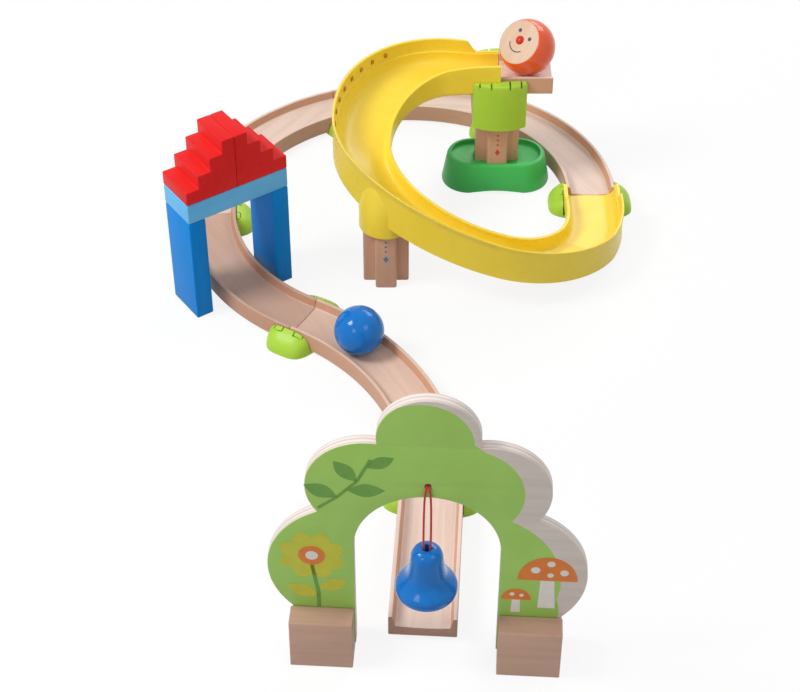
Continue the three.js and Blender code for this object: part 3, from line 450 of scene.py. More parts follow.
# The bumps' darker yellow is painted shade: they are coloured as they look in shade
painted_shade_yellow = plastic("yellow_plastic_shade", (196, 140, 30), (184, 128, 24), roughness=0.34)
light_green = plastic("light_green_plastic", (178, 220, 70), (170, 212, 62), roughness=0.34)
dark_green = plastic("dark_green_plastic", (72, 196, 98), (64, 186, 90), roughness=0.32)
post_blue = paint("blue_paint", (2, 138, 224), (0, 130, 214), roughness=0.4)
pale_blue = paint("pale_blue_paint", (112, 194, 244), (102, 186, 238), roughness=0.38, axis=0)
roof_red = paint("red_paint", (232, 40, 38), (222, 32, 32), roughness=0.38, axis=1)
gloss_blue = lacquer("gloss_blue", (0, 118, 204), (0, 110, 194))
gloss_red = lacquer("nose_red", (222, 50, 34), (210, 42, 28))
cord_red = cord_material("red_cord", (222, 44, 36), (176, 24, 18))


def meshed(name, bm):
    """Mesh data from a bmesh, which is used up."""
    mesh = bpy.data.meshes.new(name)
    bm.to_mesh(mesh)
    bm.free()
    return mesh


def smooth(mesh, angle):
    """Smooth shading with sharp edges kept."""
    mesh.polygons.foreach_set("use_smooth", [True] * len(mesh.polygons))
    mesh.set_sharp_from_angle(angle=math.radians(angle))


def add(name, bm, material, body, matrix=None, angle=32):
    """A new object from a bmesh, riding on a body."""
    mesh = meshed(name, bm)
    mesh.materials.append(material)
    smooth(mesh, angle)
    obj = bpy.data.objects.new(name, mesh)
    scene.collection.objects.link(obj)
    if matrix is not None:
        obj.matrix_world = matrix
    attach(obj, body)
    return obj


def stands_for(obj, node):
    """The piece replaces a node, which is hidden."""
    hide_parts(node)


def look(node, bm, material, matrix=None, angle=32):
    """A finer shape for a node, on the node's body."""
    stands_for(add(f"{node}_look", bm, material, nodes[node]["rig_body"], matrix, angle), node)


def rounded(bm, edges, width, segments=2, clamp=True):
    """Rounds edges, held back where two would meet if clamp is set."""
    bmesh.ops.bevel(
        bm, geom=edges, offset=width * MM, offset_type="OFFSET", segments=segments,
        profile=0.5, affect="EDGES", clamp_overlap=clamp,
    )


def dressed(node, material, bevel=0.5, segments=2, matrix=None, angle=32):
    """A finer copy of a node: flat faces joined, sharp edges rounded."""
    bm = bmesh.new()
    bm.from_mesh(nodes[node].data)
    bmesh.ops.remove_doubles(bm, verts=bm.verts, dist=1e-6)
    bmesh.ops.dissolve_limit(bm, angle_limit=math.radians(0.5), verts=bm.verts, edges=bm.edges)
    if bevel:
        sharp = [e for e in bm.edges if len(e.link_faces) == 2 and e.calc_face_angle() > math.radians(angle)]
        rounded(bm, sharp, bevel, segments)
    if matrix is not None:
        bm.transform(matrix.inverted())
    look(node, bm, material, matrix, angle)


def drawn(start, *stretches):
    """An outline from a point on, by stretches of (steps, corners): straight lines and Bezier curves."""
    points = [start]
    for steps, *corners in stretches:
        corners = [points[-1], *corners]
        for i in range(1, steps + 1):
            row = corners
            while len(row) > 1:
                row = [tuple(p + (q - p) * i / steps for p, q in zip(a, b)) for a, b in zip(row, row[1:])]
            points += row
    return points


def smoothstep(low, high, value):
    """0 up to low, 1 from high on, and an eased step between them."""
    t = min(max((value - low) / (high - low), 0), 1)
    return t * t * (3 - 2 * t)


def polar(x, y, radius, angle):
    """The point at a distance and an angle from another."""
    return (x + radius * math.cos(angle), y + radius * math.sin(angle))


def skinned(rings):
    """A closed body through rings of points, each ring a list of as many points."""
    bm = bmesh.new()
    rings = [[bm.verts.new(point) for point in ring] for ring in rings]
    count = len(rings[0])
    for a, b in zip(rings, rings[1:]):
        for k in range(count):
            n = (k + 1) % count
            bm.faces.new((a[k], a[n], b[n], b[k]))
    bm.faces.new(rings[0])
    bm.faces.new(rings[-1])
    bmesh.ops.recalc_face_normals(bm, faces=bm.faces)
    return bm


def sweep(section, point, start, end, steps):
    """A body from a section of (across, up) carried along a path by point(along, across, up)."""
    stations = [start + (end - start) * i / steps for i in range(steps + 1)]
    bm = skinned([[point(along, across, up) for across, up in section] for along in stations])
    if bm.calc_volume(signed=True) < 0:
        bmesh.ops.reverse_faces(bm, faces=bm.faces)
    return bm


def turned(outline, sides=ROUND_SIDES):
    """A turned body from an outline of (radius, height)."""
    bm = bmesh.new()
    rings = []
    for radius, height in outline:
        if radius < 1e-6:
            rings.append([bm.verts.new((0, 0, height * MM))])
            continue
        ring = []
        for k in range(sides):
            angle = 2 * math.pi * k / sides
            x, y = polar(0, 0, radius, angle)
            ring.append(bm.verts.new((x * MM, y * MM, height * MM)))
        rings.append(ring)
    for a, b in zip(rings, rings[1:]):
        for k in range(sides):
            n = (k + 1) % sides
            if len(a) == 1 and len(b) > 1:
                bm.faces.new((a[0], b[n], b[k]))
            elif len(b) == 1 and len(a) > 1:
                bm.faces.new((a[k], a[n], b[0]))
            elif len(a) > 1:
                bm.faces.new((a[k], a[n], b[n], b[k]))
    bmesh.ops.recalc_face_normals(bm, faces=bm.faces)
    return bm


def joined(bm, *others):
    """Puts other bmeshes into the first."""
    for other in others:
        mesh = meshed("joined", other)
        bm.from_mesh(mesh)
        bpy.data.meshes.remove(mesh)
    return bm


def carved(bm, *cutters):
    """A bmesh with others cut out of it in one go."""
    tools = bpy.data.collections.new("cutters")
    objects = []
    for source in (bm, *cutters):
        obj = bpy.data.objects.new("carved", meshed("carved", source))
        (tools if objects else scene.collection).objects.link(obj)
        objects.append(obj)
    change = objects[0].modifiers.new("cut", "BOOLEAN")
    change.operation = "DIFFERENCE"
    change.operand_type = "COLLECTION"
    change.collection = tools
    change.solver = "EXACT"
    result = bmesh.new()
    result.from_object(objects[0], bpy.context.evaluated_depsgraph_get())
    for obj in objects:
        bpy.data.objects.remove(obj)
    bpy.data.collections.remove(tools)
    return result


# Floor, backdrop light and lamps
def background_rays(tree):
    """1 for the rays that show the background: from the camera, off gloss and through glass."""
    path = tree.nodes.new("ShaderNodeLightPath")
    seen = path.outputs["Is Camera Ray"]
    for kind in ("Is Glossy Ray", "Is Transmission Ray"):
        larger = tree.nodes.new("ShaderNodeMath")
        larger.operation = "MAXIMUM"
        tree.links.new(seen, larger.inputs[0])
        tree.links.new(path.outputs[kind], larger.inputs[1])
        seen = larger.outputs[0]
    return seen


floor_tree = Tree("floor")
seen = background_rays(floor_tree.tree)
shade = floor_tree.scaled(seen, FLOOR_PALE - FLOOR_BOUNCE, FLOOR_BOUNCE)
diffuse = floor_tree.node("ShaderNodeBsdfDiffuse", Color=shade)
glow = floor_tree.node("ShaderNodeEmission", Color=WHITE, Strength=1.0)
blend = floor_tree.node("ShaderNodeMixShader", _0=floor_tree.scaled(seen, FLOOR_GLOW))
floor_tree.tree.links.new(diffuse.outputs[0], blend.inputs[1])
floor_tree.tree.links.new(glow.outputs[0], blend.inputs[2])
floor_tree.tree.links.new(blend.outputs[0], floor_tree.tree.nodes["Material Output"].inputs["Surface"])
floor_mesh = bmesh.new()
bmesh.ops.create_grid(floor_mesh, x_segments=1, y_segments=1, size=FLOOR_SIZE)
floor_data = meshed("floor", floor_mesh)
floor_data.materials.append(floor_tree.material)
floor = bpy.data.objects.new("floor", floor_data)
floor.location.z = -FLOOR_DROP
scene.collection.objects.link(floor)

world = bpy.data.worlds.new("world")
scene.world = world
world.use_nodes = True
background = world.node_tree.nodes["Background"]
background.inputs["Color"].default_value = WHITE
level = world.node_tree.nodes.new("ShaderNodeMapRange")
level.inputs["To Min"].default_value = WORLD_LIGHT
level.inputs["To Max"].default_value = 1.0
world.node_tree.links.new(background_rays(world.node_tree), level.inputs["Value"])
world.node_tree.links.new(level.outputs[0], background.inputs["Strength"])


def lamp(name, location, target, size, energy):
    """A soft square lamp that looks at a point."""
    data = bpy.data.lights.new(name, "AREA")
    data.size = size
    data.energy = energy
    obj = bpy.data.objects.new(name, data)
    obj.location = location
    direction = Vector(target) - Vector(location)
    obj.rotation_euler = direction.to_track_quat("-Z", "Y").to_euler()
    scene.collection.objects.link(obj)


lamp("key", (-1.15, -0.3, 1.5), (0, 0, 0.05), size=0.55, energy=21)
lamp("fill", (0.9, -0.9, 1.3), (0, 0, 0.08), size=0.6, energy=3)
lamp("side", (1.0, 1.25, 1.15), (0, 0.15, 0.08), size=0.6, energy=6)
lamp("back", (0.5, 1.6, 1.0), (0, 0.1, 0.08), size=0.5, energy=4)
lamp("front", (-0.7, -1.3, 1.0), (0, -0.1, 0.08), size=0.4, energy=2.4)


# Tracks
def track_section(width, height, bottom):
    """A block with rounded rims and a channel with steep sides and a slightly hollow floor."""
    half = width / 2
    inner = half - RIM_WIDTH
    side = inner - WALL_SLANT
    top = bottom + height
    floor_edge = bottom + TRACK_HEIGHT - CHANNEL_DEPTH + CHANNEL_HOLLOW
    right = drawn(
        (half - TRACK_CHAMFER, bottom),
        (1, (half, bottom + TRACK_CHAMFER)),
        (1, (half, top - RIM_ROUND)),
        (4, (half, top), (half - RIM_ROUND, top)),
        (1, (inner + RIM_ROUND, top)),
        (4, (inner, top), (inner, top - RIM_ROUND)),
        (1, (side, floor_edge + CHANNEL_CORNER)),
        (6, (side, floor_edge), (side - CHANNEL_CORNER, floor_edge)),
    )
    left = [(-across, up) for across, up in reversed(right)]
    channel = drawn(right[-1], (12, (0, floor_edge - 2 * CHANNEL_HOLLOW), left[0]))
    return right + channel[1:] + left[1:]


def on_arc(x, y, heading, radius, turn):
    """A path along an arc: a point for a distance along, a distance across to the left, and a height."""
    cx = x - turn * radius * math.sin(heading)
    cy = y + turn * radius * math.cos(heading)

    def point(along, across, up):
        now = heading + turn * along / radius
        reach = turn * radius - across
        return place(cx + reach * math.sin(now), cy - reach * math.cos(now), up)
    return point


def on_line(x, y, heading):
    """A path along a straight line."""
    ahead_x, ahead_y = polar(0, 0, 1, heading)

    def point(along, across, up):
        return place(x + along * ahead_x - across * ahead_y, y + along * ahead_y + across * ahead_x, up)
    return point


def track(node, point, length, steps, width=TRACK_WIDTH, height=TRACK_HEIGHT, bottom=TRACK_BOTTOM):
    """A track whose grain runs straight along its chord."""
    bm = sweep(track_section(width, height, bottom), point, GAP / 2, length - GAP / 2, steps)
    start, end = point(0, 0, 0), point(length, 0, 0)
    chord = end - start
    matrix = standing((start + end) / 2, math.atan2(chord.y, chord.x))
    ends = [f for f in bm.faces if len(f.verts) > 4]
    rim = {e for f in ends for e in f.edges}
    rounded(bm, list(rim), TRACK_END_ROUND, clamp=False)
    bm.transform(matrix.inverted())
    look(node, bm, track_beech.get(node, beech[0]), matrix)


spot = (*LOOP_START, math.pi / 2)
curves = []
for i, (radius, degrees) in enumerate(zip(CURVE_RADII, CURVE_DEGREES)):
    turn = -1 if i == len(CURVE_RADII) - 1 else 1
    angle = math.radians(degrees)
    curves.append((on_arc(*spot, radius, turn), radius * angle, spot))
    track(f"curve_track_{i + 1}", *curves[-1][:2], CURVE_STEPS)
    x, y, heading = spot
    after = heading + turn * angle
    x += turn * radius * (math.sin(after) - math.sin(heading))
    y -= turn * radius * (math.cos(after) - math.cos(heading))
    spot = (x, y, after)
track("end_track", on_line(*spot), END_LENGTH, STRAIGHT_STEPS, END_WIDTH, END_HEIGHT)
board_path = on_line(BOARD_JOINT[0] + BOARD_LENGTH, BOARD_JOINT[1], math.pi)
track("start_board", board_path, BOARD_LENGTH, STRAIGHT_STEPS, bottom=BOARD_BOTTOM)

for name in ("rear_pillar", "front_pillar"):
    dressed(name, beech[2], bevel=0.6)
for name in ("gate_foot_left", "gate_foot_right"):
    dressed(name, shaded_top_foot_beech, bevel=0.9, segments=3, matrix=GATE_FRAME)


# Spiral chute
def chute_route():
    """Places and headings along the chute, from the board joint, and the distance to each."""
    points = [(0.0, 0.0, math.pi)]
    corner = (-CHUTE_ENTRY_STRAIGHT, 0.0)
    for quarter, (half_x, half_y) in enumerate(CHUTE_TURNS):
        start = (quarter + 1) * math.pi / 2
        cx = corner[0] - half_x * math.cos(start)
        cy = corner[1] - half_y * math.sin(start)
        for i in range(1 if quarter else 0, 91):
            angle = start + math.radians(i)
            heading = math.atan2(half_y * math.cos(angle), -half_x * math.sin(angle)) % (2 * math.pi)
            points.append((cx + half_x * math.cos(angle), cy + half_y * math.sin(angle), heading))
        corner = points[-1]
    points.append((corner[0], corner[1] + CHUTE_EXIT_STRAIGHT, math.pi / 2))
    distances = [0.0]
    for a, b in zip(points, points[1:]):
        distances.append(distances[-1] + math.hypot(b[0] - a[0], b[1] - a[1]))
    return points, distances


chute_points, chute_distances = chute_route()
CHUTE_LENGTH = chute_distances[-1]


def chute_spot(along):
    """The place and heading at a distance along the chute."""
    k = 0
    while k < len(chute_distances) - 2 and chute_distances[k + 1] <= along:
        k += 1
    t = (along - chute_distances[k]) / (chute_distances[k + 1] - chute_distances[k])
    a, b = chute_points[k], chute_points[k + 1]
    bend = (b[2] - a[2] + math.pi) % (2 * math.pi) - math.pi
    x = BOARD_JOINT[0] + a[0] + t * (b[0] - a[0])
    y = BOARD_JOINT[1] + a[1] + t * (b[1] - a[1])
    return x, y, a[2] + t * bend


def wall_height(along, across, up):
    """The outer wall starts low, the inner wall starts high, and both end low."""
    inside = CHUTE_WIDTH / 2 - CHUTE_WALL
    last = CHUTE_LENGTH - LOW_WALL_LENGTH
    low = smoothstep(last - LOW_WALL_EASE, last + LOW_WALL_EASE, along)
    if across < 0:
        low += 1 - smoothstep(LOW_WALL_LENGTH - LOW_WALL_EASE, LOW_WALL_LENGTH + LOW_WALL_EASE, along)
    if across > inside - GAP and up > CHUTE_INNER_WALL / 2:
        share = smoothstep(CHUTE_INNER_WALL / 2, CHUTE_INNER_WALL - ENTRY_HIGH_RIM, up)
        up += share * ENTRY_HIGH_WALL * (1 - smoothstep(0, ENTRY_HIGH_LENGTH, along))
    if up > LOW_WALL:
        flat = LOW_WALL + LOW_WALL_REST * (up - LOW_WALL)
        up += low * (flat - up)
    return up


def on_chute(along, across, up):
    """A point of the chute: it falls between its level ends and banks in the middle."""
    x, y, heading = chute_spot(along)
    fall_end = CHUTE_LENGTH - CHUTE_LEVEL_END
    t = min(max((along - CHUTE_LEVEL_START) / (fall_end - CHUTE_LEVEL_START), 0), 1)
    eased = t - CHUTE_FALL_EASE * math.sin(2 * math.pi * t) / (2 * math.pi)
    fall = CHUTE_ENTRY_FLOOR + (CHUTE_EXIT_FLOOR - CHUTE_ENTRY_FLOOR) * eased ** CHUTE_FALL_POWER
    outward = min(max(0.5 - across / CHUTE_WIDTH, 0), 1)
    share = SKIRT_BANK if up < -CHUTE_FLOOR else outward ** BANK_POWER
    height = fall + wall_height(along, across, up) + CHUTE_BANK * math.sin(math.pi * t) * share
    return place(x - across * math.sin(heading), y + across * math.cos(heading), height)


def chute_section():
    """A floor, a low inner wall, and a tall outer wall with a ledge and a skirt, all with rounded rims."""
    half = CHUTE_WIDTH / 2
    inside = half - CHUTE_WALL
    bottom = -CHUTE_FLOOR
    rim = CHUTE_RIM_ROUND
    ledge, ledge_height = CHUTE_LEDGE
    wall = ledge - inside
    fillet, fillet_low, fillet_high = LEDGE_FILLET
    low_top, high_top = CHUTE_INNER_WALL - CHUTE_RIM_DROP, CHUTE_OUTER_WALL - CHUTE_RIM_DROP
    low_bead, low_height, low_slope = INNER_BEAD
    high_bead, high_height, high_slope = OUTER_BEAD
    return drawn(
        (-inside, bottom),
        (10, (half - CHUTE_EDGE_CORNER, bottom)),
        (6, (half, bottom), (half, bottom + CHUTE_EDGE_CORNER)),
        (4, (half, low_top - rim)),
        (4, (half, low_top), (half - rim, low_top)),
        (1, (inside + rim - low_bead, low_top)),
        (4, (inside - low_bead, low_top), (inside - low_bead, low_top - rim)),
        (1, (inside - low_bead, low_top - low_height)),
        (1, (inside, low_top - low_height - low_slope)),
        (3, (inside, CHUTE_INNER_CORNER)),
        (8, (inside, 0), (inside - CHUTE_INNER_CORNER, 0)),
        (8, (wall + CHUTE_OUTER_CORNER, 0)),
        (8, (wall, 0), (wall, CHUTE_OUTER_CORNER)),
        (1, (wall, ledge_height - LEDGE_ROUND)),
        (1, (wall - LEDGE_ROUND, ledge_height)),
        (1, (-inside + fillet, ledge_height + fillet_low)),
        (1, (-inside, ledge_height + fillet_high)),
        (4, (-inside, high_top - rim)),
        (4, (-inside, high_top), (-inside - rim, high_top)),
        (1, (-half + rim, high_top)),
        (4, (-half, high_top), (-half, high_top - rim)),
        (1, (-half, high_top - high_height)),
        (1, (-half + high_bead, high_top - high_height - high_slope)),
        (5, (-half + high_bead, 0)),
        (1, (-half, bottom - SKIRT_REST)),
        (1, (-inside, bottom - SKIRT_REST)),
    )


def boss():
    """The socket for the front pillar: upright at the bottom, then leaning in under the outer wall."""
    centre = middle("front_pillar") / MM - OFFSET
    heading = chute_spot(FRONT_PILLAR_ALONG)[2]
    socket, depth = BOSS_SOCKET
    straight_top = BOSS_BOTTOM + BOSS_STRAIGHT
    bm = turned([
        (0, BOSS_BOTTOM + depth), (socket, BOSS_BOTTOM + depth),
        (socket, BOSS_BOTTOM + BOSS_MOUTH), (socket + BOSS_MOUTH, BOSS_BOTTOM),
        (BOSS_RADIUS - BOSS_CHAMFER, BOSS_BOTTOM), (BOSS_RADIUS, BOSS_BOTTOM + BOSS_CHAMFER),
        (BOSS_RADIUS, straight_top), (BOSS_RADIUS, BOSS_TOP), (0, BOSS_TOP),
    ])
    for vert in bm.verts:
        lean = BOSS_LEAN * max(vert.co.z / MM - straight_top, 0) / (BOSS_TOP - straight_top)
        vert.co += place(centre.x - lean * math.sin(heading), centre.y + lean * math.cos(heading), 0)
    half = (CHUTE_WIDTH - CHUTE_WALL) / 2
    floor = -CHUTE_FLOOR / 2
    top = 2 * CHUTE_OUTER_WALL
    air = drawn((-half, floor), (8, (half, floor)))[1:] + [(half, top), (-half, top), (-half, floor)]
    start, end = FRONT_PILLAR_ALONG - CHUTE_WIDTH, FRONT_PILLAR_ALONG + CHUTE_WIDTH
    return carved(bm, sweep(air, on_chute, start, end, 30))


def chute_foot():
    """The foot under the chute's exit."""
    x, y, heading = chute_spot(CHUTE_LENGTH)
    width, length = CHUTE_FOOT
    half = width / 2
    section = [(-half, TRACK_BOTTOM), (half, TRACK_BOTTOM), (half, CHUTE_FOOT_TOP), (-half, CHUTE_FOOT_TOP)]
    return sweep(section, on_line(x, y, heading), -length, -GAP / 2, 1)


chute = sweep(chute_section(), on_chute, GAP / 2, CHUTE_LENGTH - GAP / 2, CHUTE_STEPS)
look("spiral_chute", joined(chute, boss(), chute_foot()), yellow, angle=40)


def bumps():
    """Small bumps on the inside of the tall outer wall."""
    rise, height, length = BUMP_SIZE
    edge_in, edge_up = BUMP_EDGE
    inside = CHUTE_WIDTH / 2 - CHUTE_WALL
    back, front = -inside - BUMP_SUNK, -inside + rise
    top = CHUTE_OUTER_WALL - BUMP_BELOW_RIM
    bottom = top - height
    section = [(back, top), (back, bottom), (front - edge_in, bottom)]
    section += [(front, bottom + edge_up), (front, top - edge_up), (front - edge_in, top)]
    every = []
    for i in range(BUMP_COUNT):
        along = BUMP_RANGE[0] + (BUMP_RANGE[1] - BUMP_RANGE[0]) * i / (BUMP_COUNT - 1)
        every.append(sweep(section, on_chute, along - length / 2, along + length / 2, 2))
    return joined(*every)


# The bumps take the darker yellow as painted shade
add("spiral_chute_bumps", bumps(), painted_shade_yellow, "base")


# Connectors and pillar head
def block(low, high):
    """A box between two corners."""
    bm = bmesh.new()
    bmesh.ops.create_cube(bm, size=1)
    for vert in bm.verts:
        vert.co = Vector([(a + (b - a) * (share + 0.5)) * MM for a, b, share in zip(low, high, vert.co)])
    return bm


def dome():
    """A dome across a joint, with squarer ends along the track."""
    quarter = [math.pi / 2 * i / 20 for i in range(21)]
    bm = turned([(0, 0)] + [polar(0, 0, 1, angle) for angle in quarter], 64)
    halves = (CONNECTOR_REACH, CONNECTOR_HALF, CONNECTOR_RISE)
    for vert in bm.verts:
        direction = vert.co.normalized()
        low, high = 0.0, 2 * CONNECTOR_REACH
        for _ in range(30):
            size = (low + high) / 2
            parts = zip(direction, halves, CONNECTOR_POWERS)
            inside = sum(abs(share / half * size) ** power for share, half, power in parts) < 1
            low, high = (size, high) if inside else (low, size)
        vert.co = direction * low * MM
    return bm


def head_wings():
    """The head's plan with two bulging sides, drawn up to a rounded top."""
    bulge = HEAD_FRONT - HEAD_EDGE
    radius = (HEAD_HALF ** 2 + bulge ** 2) / (2 * bulge)
    reach = math.asin(HEAD_HALF / radius)
    side = [polar(HEAD_FRONT - radius, 0, radius, reach * (2 * i / 32 - 1)) for i in range(33)]
    plan = side + [(-x, -y) for x, y in side]
    rings = []
    for height, inset in HEAD_RINGS:
        scale_x, scale_y = (1 - inset / HEAD_FRONT) * MM, (1 - inset / HEAD_HALF) * MM
        rings.append([(x * scale_x, y * scale_y, height * MM) for x, y in plan])
    return skinned(rings)


def tab_slits(halves, top, tabs):
    """Blocks that outline the snap tabs on both sides of both pieces at a joint."""
    length, slit, depth, reach, tab_at = tabs
    low, high = top - depth, top + depth
    slits = []
    for end, half in zip((-1, 1), halves):
        start, finish = end * tab_at - length / 2, end * tab_at + length / 2
        for side in (-1, 1):
            rim = side * (half + reach)
            near, far = sorted((side * half, rim))
            for along in (start, finish):
                slits.append(block((near, along - slit / 2, low), (far, along + slit / 2, high)))
            slits.append(block((rim - slit / 2, start, low), (rim + slit / 2, finish, high)))
    return slits


def holder(node, wings, spot, before, after, halves, seat, top, tabs, socket=None):
    """Wings cut to the two pieces that they hold, with snap tabs between slits."""
    x, y, heading = spot
    here = standing(place(x, y, 0), heading - math.pi / 2)
    cutters = tab_slits(halves, top, tabs)
    if socket:
        radius, roof = socket
        cutters.append(turned([(0, 0), (radius, 0), (radius, roof), (0, roof)], 64))
    for body in (wings, *cutters):
        body.transform(here)
    sky = seat + 2 * CONNECTOR_REACH
    stretches = ((-HOLDER_REACH, JOINT_LAP), (-JOINT_LAP, HOLDER_REACH))
    for path, half, stretch in zip((before, after), halves, stretches):
        wide = half + HOLDER_ROOM
        room = [(-wide, seat), (wide, seat), (wide, sky), (-wide, sky)]
        cutters.append(sweep(room, path, *stretch, 16))
    wings = carved(wings, *cutters)
    bmesh.ops.remove_doubles(wings, verts=wings.verts, dist=1e-6)
    look(node, wings, light_green, angle=28)


def ahead(path, distance):
    """A path that starts farther along another."""
    return lambda along, across, up: path(along + distance, across, up)


exit_spot = chute_spot(CHUTE_LENGTH)
befores = [on_line(*exit_spot)] + [ahead(path, length) for path, length, _ in curves]
afters = [path for path, _, _ in curves] + [on_line(*spot)]
spots = [start for _, _, start in curves] + [spot]
for i, (before, after, joint) in enumerate(zip(befores, afters, spots)):
    halves = (
        (CHUTE_WIDTH if i == 0 else TRACK_WIDTH) / 2,
        (END_WIDTH if i == len(curves) else TRACK_WIDTH) / 2,
    )
    holder(
        f"track_connector_{i + 1}", dome(), joint, before, after, halves,
        CONNECTOR_SEAT, CONNECTOR_TOP, CONNECTOR_TABS,
    )
board_spot = (*BOARD_JOINT, math.pi)
board_line = on_line(*board_spot)
holder(
    "pillar_head", head_wings(), board_spot, board_line, board_line, (TRACK_WIDTH / 2, CHUTE_WIDTH / 2),
    HEAD_SEAT, HEAD_TOP, HEAD_TABS, HEAD_SOCKET,
)
dressed("pillar_foot", dark_green, bevel=0.7, segments=3)

# House blocks
for name, colour in (
    ("post_left", post_blue), ("post_right", post_blue), ("lintel", pale_blue),
    ("roof_left", roof_red), ("roof_right", roof_red),
):
    dressed(name, colour, bevel=0.9, segments=3, matrix=HOUSE_FRAME)


# Tree plate: plywood with a green print on its front
def arc_through(a, b, c, steps):
    """Points of the arc from a through b to c, without its first."""
    (ax, ay), (bx, by), (cx, cy) = a, b, c
    d = 2 * (ax * (by - cy) + bx * (cy - ay) + cx * (ay - by))
    squares = [x * x + y * y for x, y in (a, b, c)]
    x = (squares[0] * (by - cy) + squares[1] * (cy - ay) + squares[2] * (ay - by)) / d
    y = (squares[0] * (cx - bx) + squares[1] * (ax - cx) + squares[2] * (bx - ax)) / d
    radius = math.hypot(ax - x, ay - y)
    start = math.atan2(ay - y, ax - x)
    end = math.atan2(cy - y, cx - x)
    while end < start:
        end += 2 * math.pi
    return [polar(x, y, radius, start + (end - start) * i / steps) for i in range(1, steps + 1)]


def tree_outline():
    """The plate's outline: two lobes a side and one on top, round an arched opening."""
    top, low = TREE_NOTCHES
    upper, lower = TREE_SIDES
    foot = (LEG_OUTER, FOOT_BLOCK_HEIGHT)

    def left(point):
        return (-point[0], point[1])
    points = [(OPENING_HALF, PLATE_BOTTOM), (LEG_OUTER, PLATE_BOTTOM), foot]
    points += arc_through(foot, lower, low, 36)
    points += arc_through(low, upper, top, 30)
    points += arc_through(top, (0, PLATE_TOP), left(top), 36)
    points += arc_through(left(top), left(upper), left(low), 30)
    points += arc_through(left(low), left(lower), left(foot), 36)
    points += [(-LEG_OUTER, PLATE_BOTTOM), (-OPENING_HALF, PLATE_BOTTOM), (-OPENING_HALF, OPENING_SPRING)]
    return points + [polar(0, OPENING_SPRING, OPENING_HALF, math.pi * (1 - i / 48)) for i in range(1, 49)]


def circle(x, y, radius, sides):
    """The corners of a round outline."""
    return [polar(x, y, radius, 2 * math.pi * i / sides) for i in range(sides)]


def poly_line(curve, points, cyclic):
    """Adds a line of straight stretches to a curve."""
    line = curve.splines.new("POLY")
    line.points.add(len(points) - 1)
    line.use_cyclic_u = cyclic
    for point, here in zip(line.points, points):
        point.co = (*here, 1)


def tree_plate():
    """The plate as a filled outline with rounded edges, standing on the gate's front."""
    outline = bpy.data.curves.new("outline", "CURVE")
    outline.dimensions = "2D"
    outline.fill_mode = "BOTH"
    outline.extrude = (PLATE_THICKNESS / 2 - PLATE_ROUND) * MM
    outline.bevel_depth = PLATE_ROUND * MM
    outline.bevel_resolution = 3
    outline.offset = -PLATE_ROUND * MM
    for points in (tree_outline(), circle(0, CORD_HOLE_HEIGHT, CORD_HOLE_RADIUS, 32)):
        poly_line(outline, [(x * MM, y * MM, 0) for x, y in points], True)
    filled = bpy.data.objects.new("outline", outline)
    scene.collection.objects.link(filled)
    bm = bmesh.new()
    bm.from_mesh(filled.to_mesh())
    bpy.data.objects.remove(filled)
    bmesh.ops.remove_doubles(bm, verts=bm.verts, dist=1e-6)
    bm.transform(Matrix.Translation((0, PLATE_THICKNESS / 2 * MM, 0)) @ Matrix.Rotation(math.pi / 2, 4, "X"))
    bmesh.ops.recalc_face_normals(bm, faces=bm.faces)
    return bm


# The green print's discs on the plate: middle and radius
PRINT_DISCS = (
    (-5, 219, 36.5), (-46, 174, 46), (-52, 84, 69), (24, 172, 44),
    (28, 84, 70), (52, 52, 46), (-5, 170, 62), (-60, 30, 50),
)


def plate_material():
    """Plywood with layered edges, and a leaf green print of joined discs on the front."""
    t = Tree("leaf_print")
    where = t.coordinates()
    x, y, z = t.split(where)
    streak = t.noise(t.stretched(where, 0, 0.05), scale=150, detail=5, roughness=0.6)
    ply = t.mottle(streak, (214, 201, 192), (224, 212, 204))
    layer = t.math("PINGPONG", t.math("ADD", y, 0.5 * MM), PLY_LAYER * MM)
    edge = t.mix(t.step(layer, 0.7 * MM, 1.1 * MM), (232, 222, 216), (214, 198, 188))
    front = t.step(t.split(t.normal())[1], -0.6, -0.8)
    mask = 0.0
    for cx, cz, radius in PRINT_DISCS:
        dx = t.math("SUBTRACT", x, cx * MM)
        dz = t.math("SUBTRACT", z, cz * MM)
        away = t.math("SQRT", t.math("ADD", t.math("MULTIPLY", dx, dx), t.math("MULTIPLY", dz, dz)))
        mask = t.math("MAXIMUM", mask, t.step(away, (radius + PRINT_BLUR) * MM, (radius - PRINT_BLUR) * MM))
    printed = t.math("MULTIPLY", mask, front)
    cloud = t.noise(where, scale=26, detail=4)
    green = t.mottle(cloud, (160, 205, 92), (166, 211, 100))
    colour = t.mix(printed, t.mix(front, edge, ply), green)
    t.set(Base_Color=colour, Roughness=t.scaled(streak, 0.15, 0.42))
    t.bump(streak, distance=0.1 * MM, strength=0.35)
    return t.material


look("tree_arch", tree_plate(), plate_material(), GATE_FRAME)


# Prints: thin flat shapes just in front of a face
def print_on(name, shapes, material, matrix, body="base"):
    """Flat shapes given as outlines of (x, up), on the face y = 0 of a frame."""
    bm = bmesh.new()
    for shape in shapes:
        bm.faces.new([bm.verts.new((x * MM, -PRINT_LIFT * MM, z * MM)) for x, z in shape])
    bmesh.ops.recalc_face_normals(bm, faces=bm.faces)
    add(name, bm, material, body, matrix)


def leaf(x, z, length, width, degrees):
    """A pointed leaf that grows from a point."""
    angle = math.radians(degrees)
    side = [(length * i / 12, width / 2 * math.sin(math.pi * i / 12)) for i in range(13)]
    points = side + [(u, -v) for u, v in reversed(side[1:-1])]
    ahead_x, ahead_z = polar(0, 0, 1, angle)
    return [(x + u * ahead_x - v * ahead_z, z + u * ahead_z + v * ahead_x) for u, v in points]


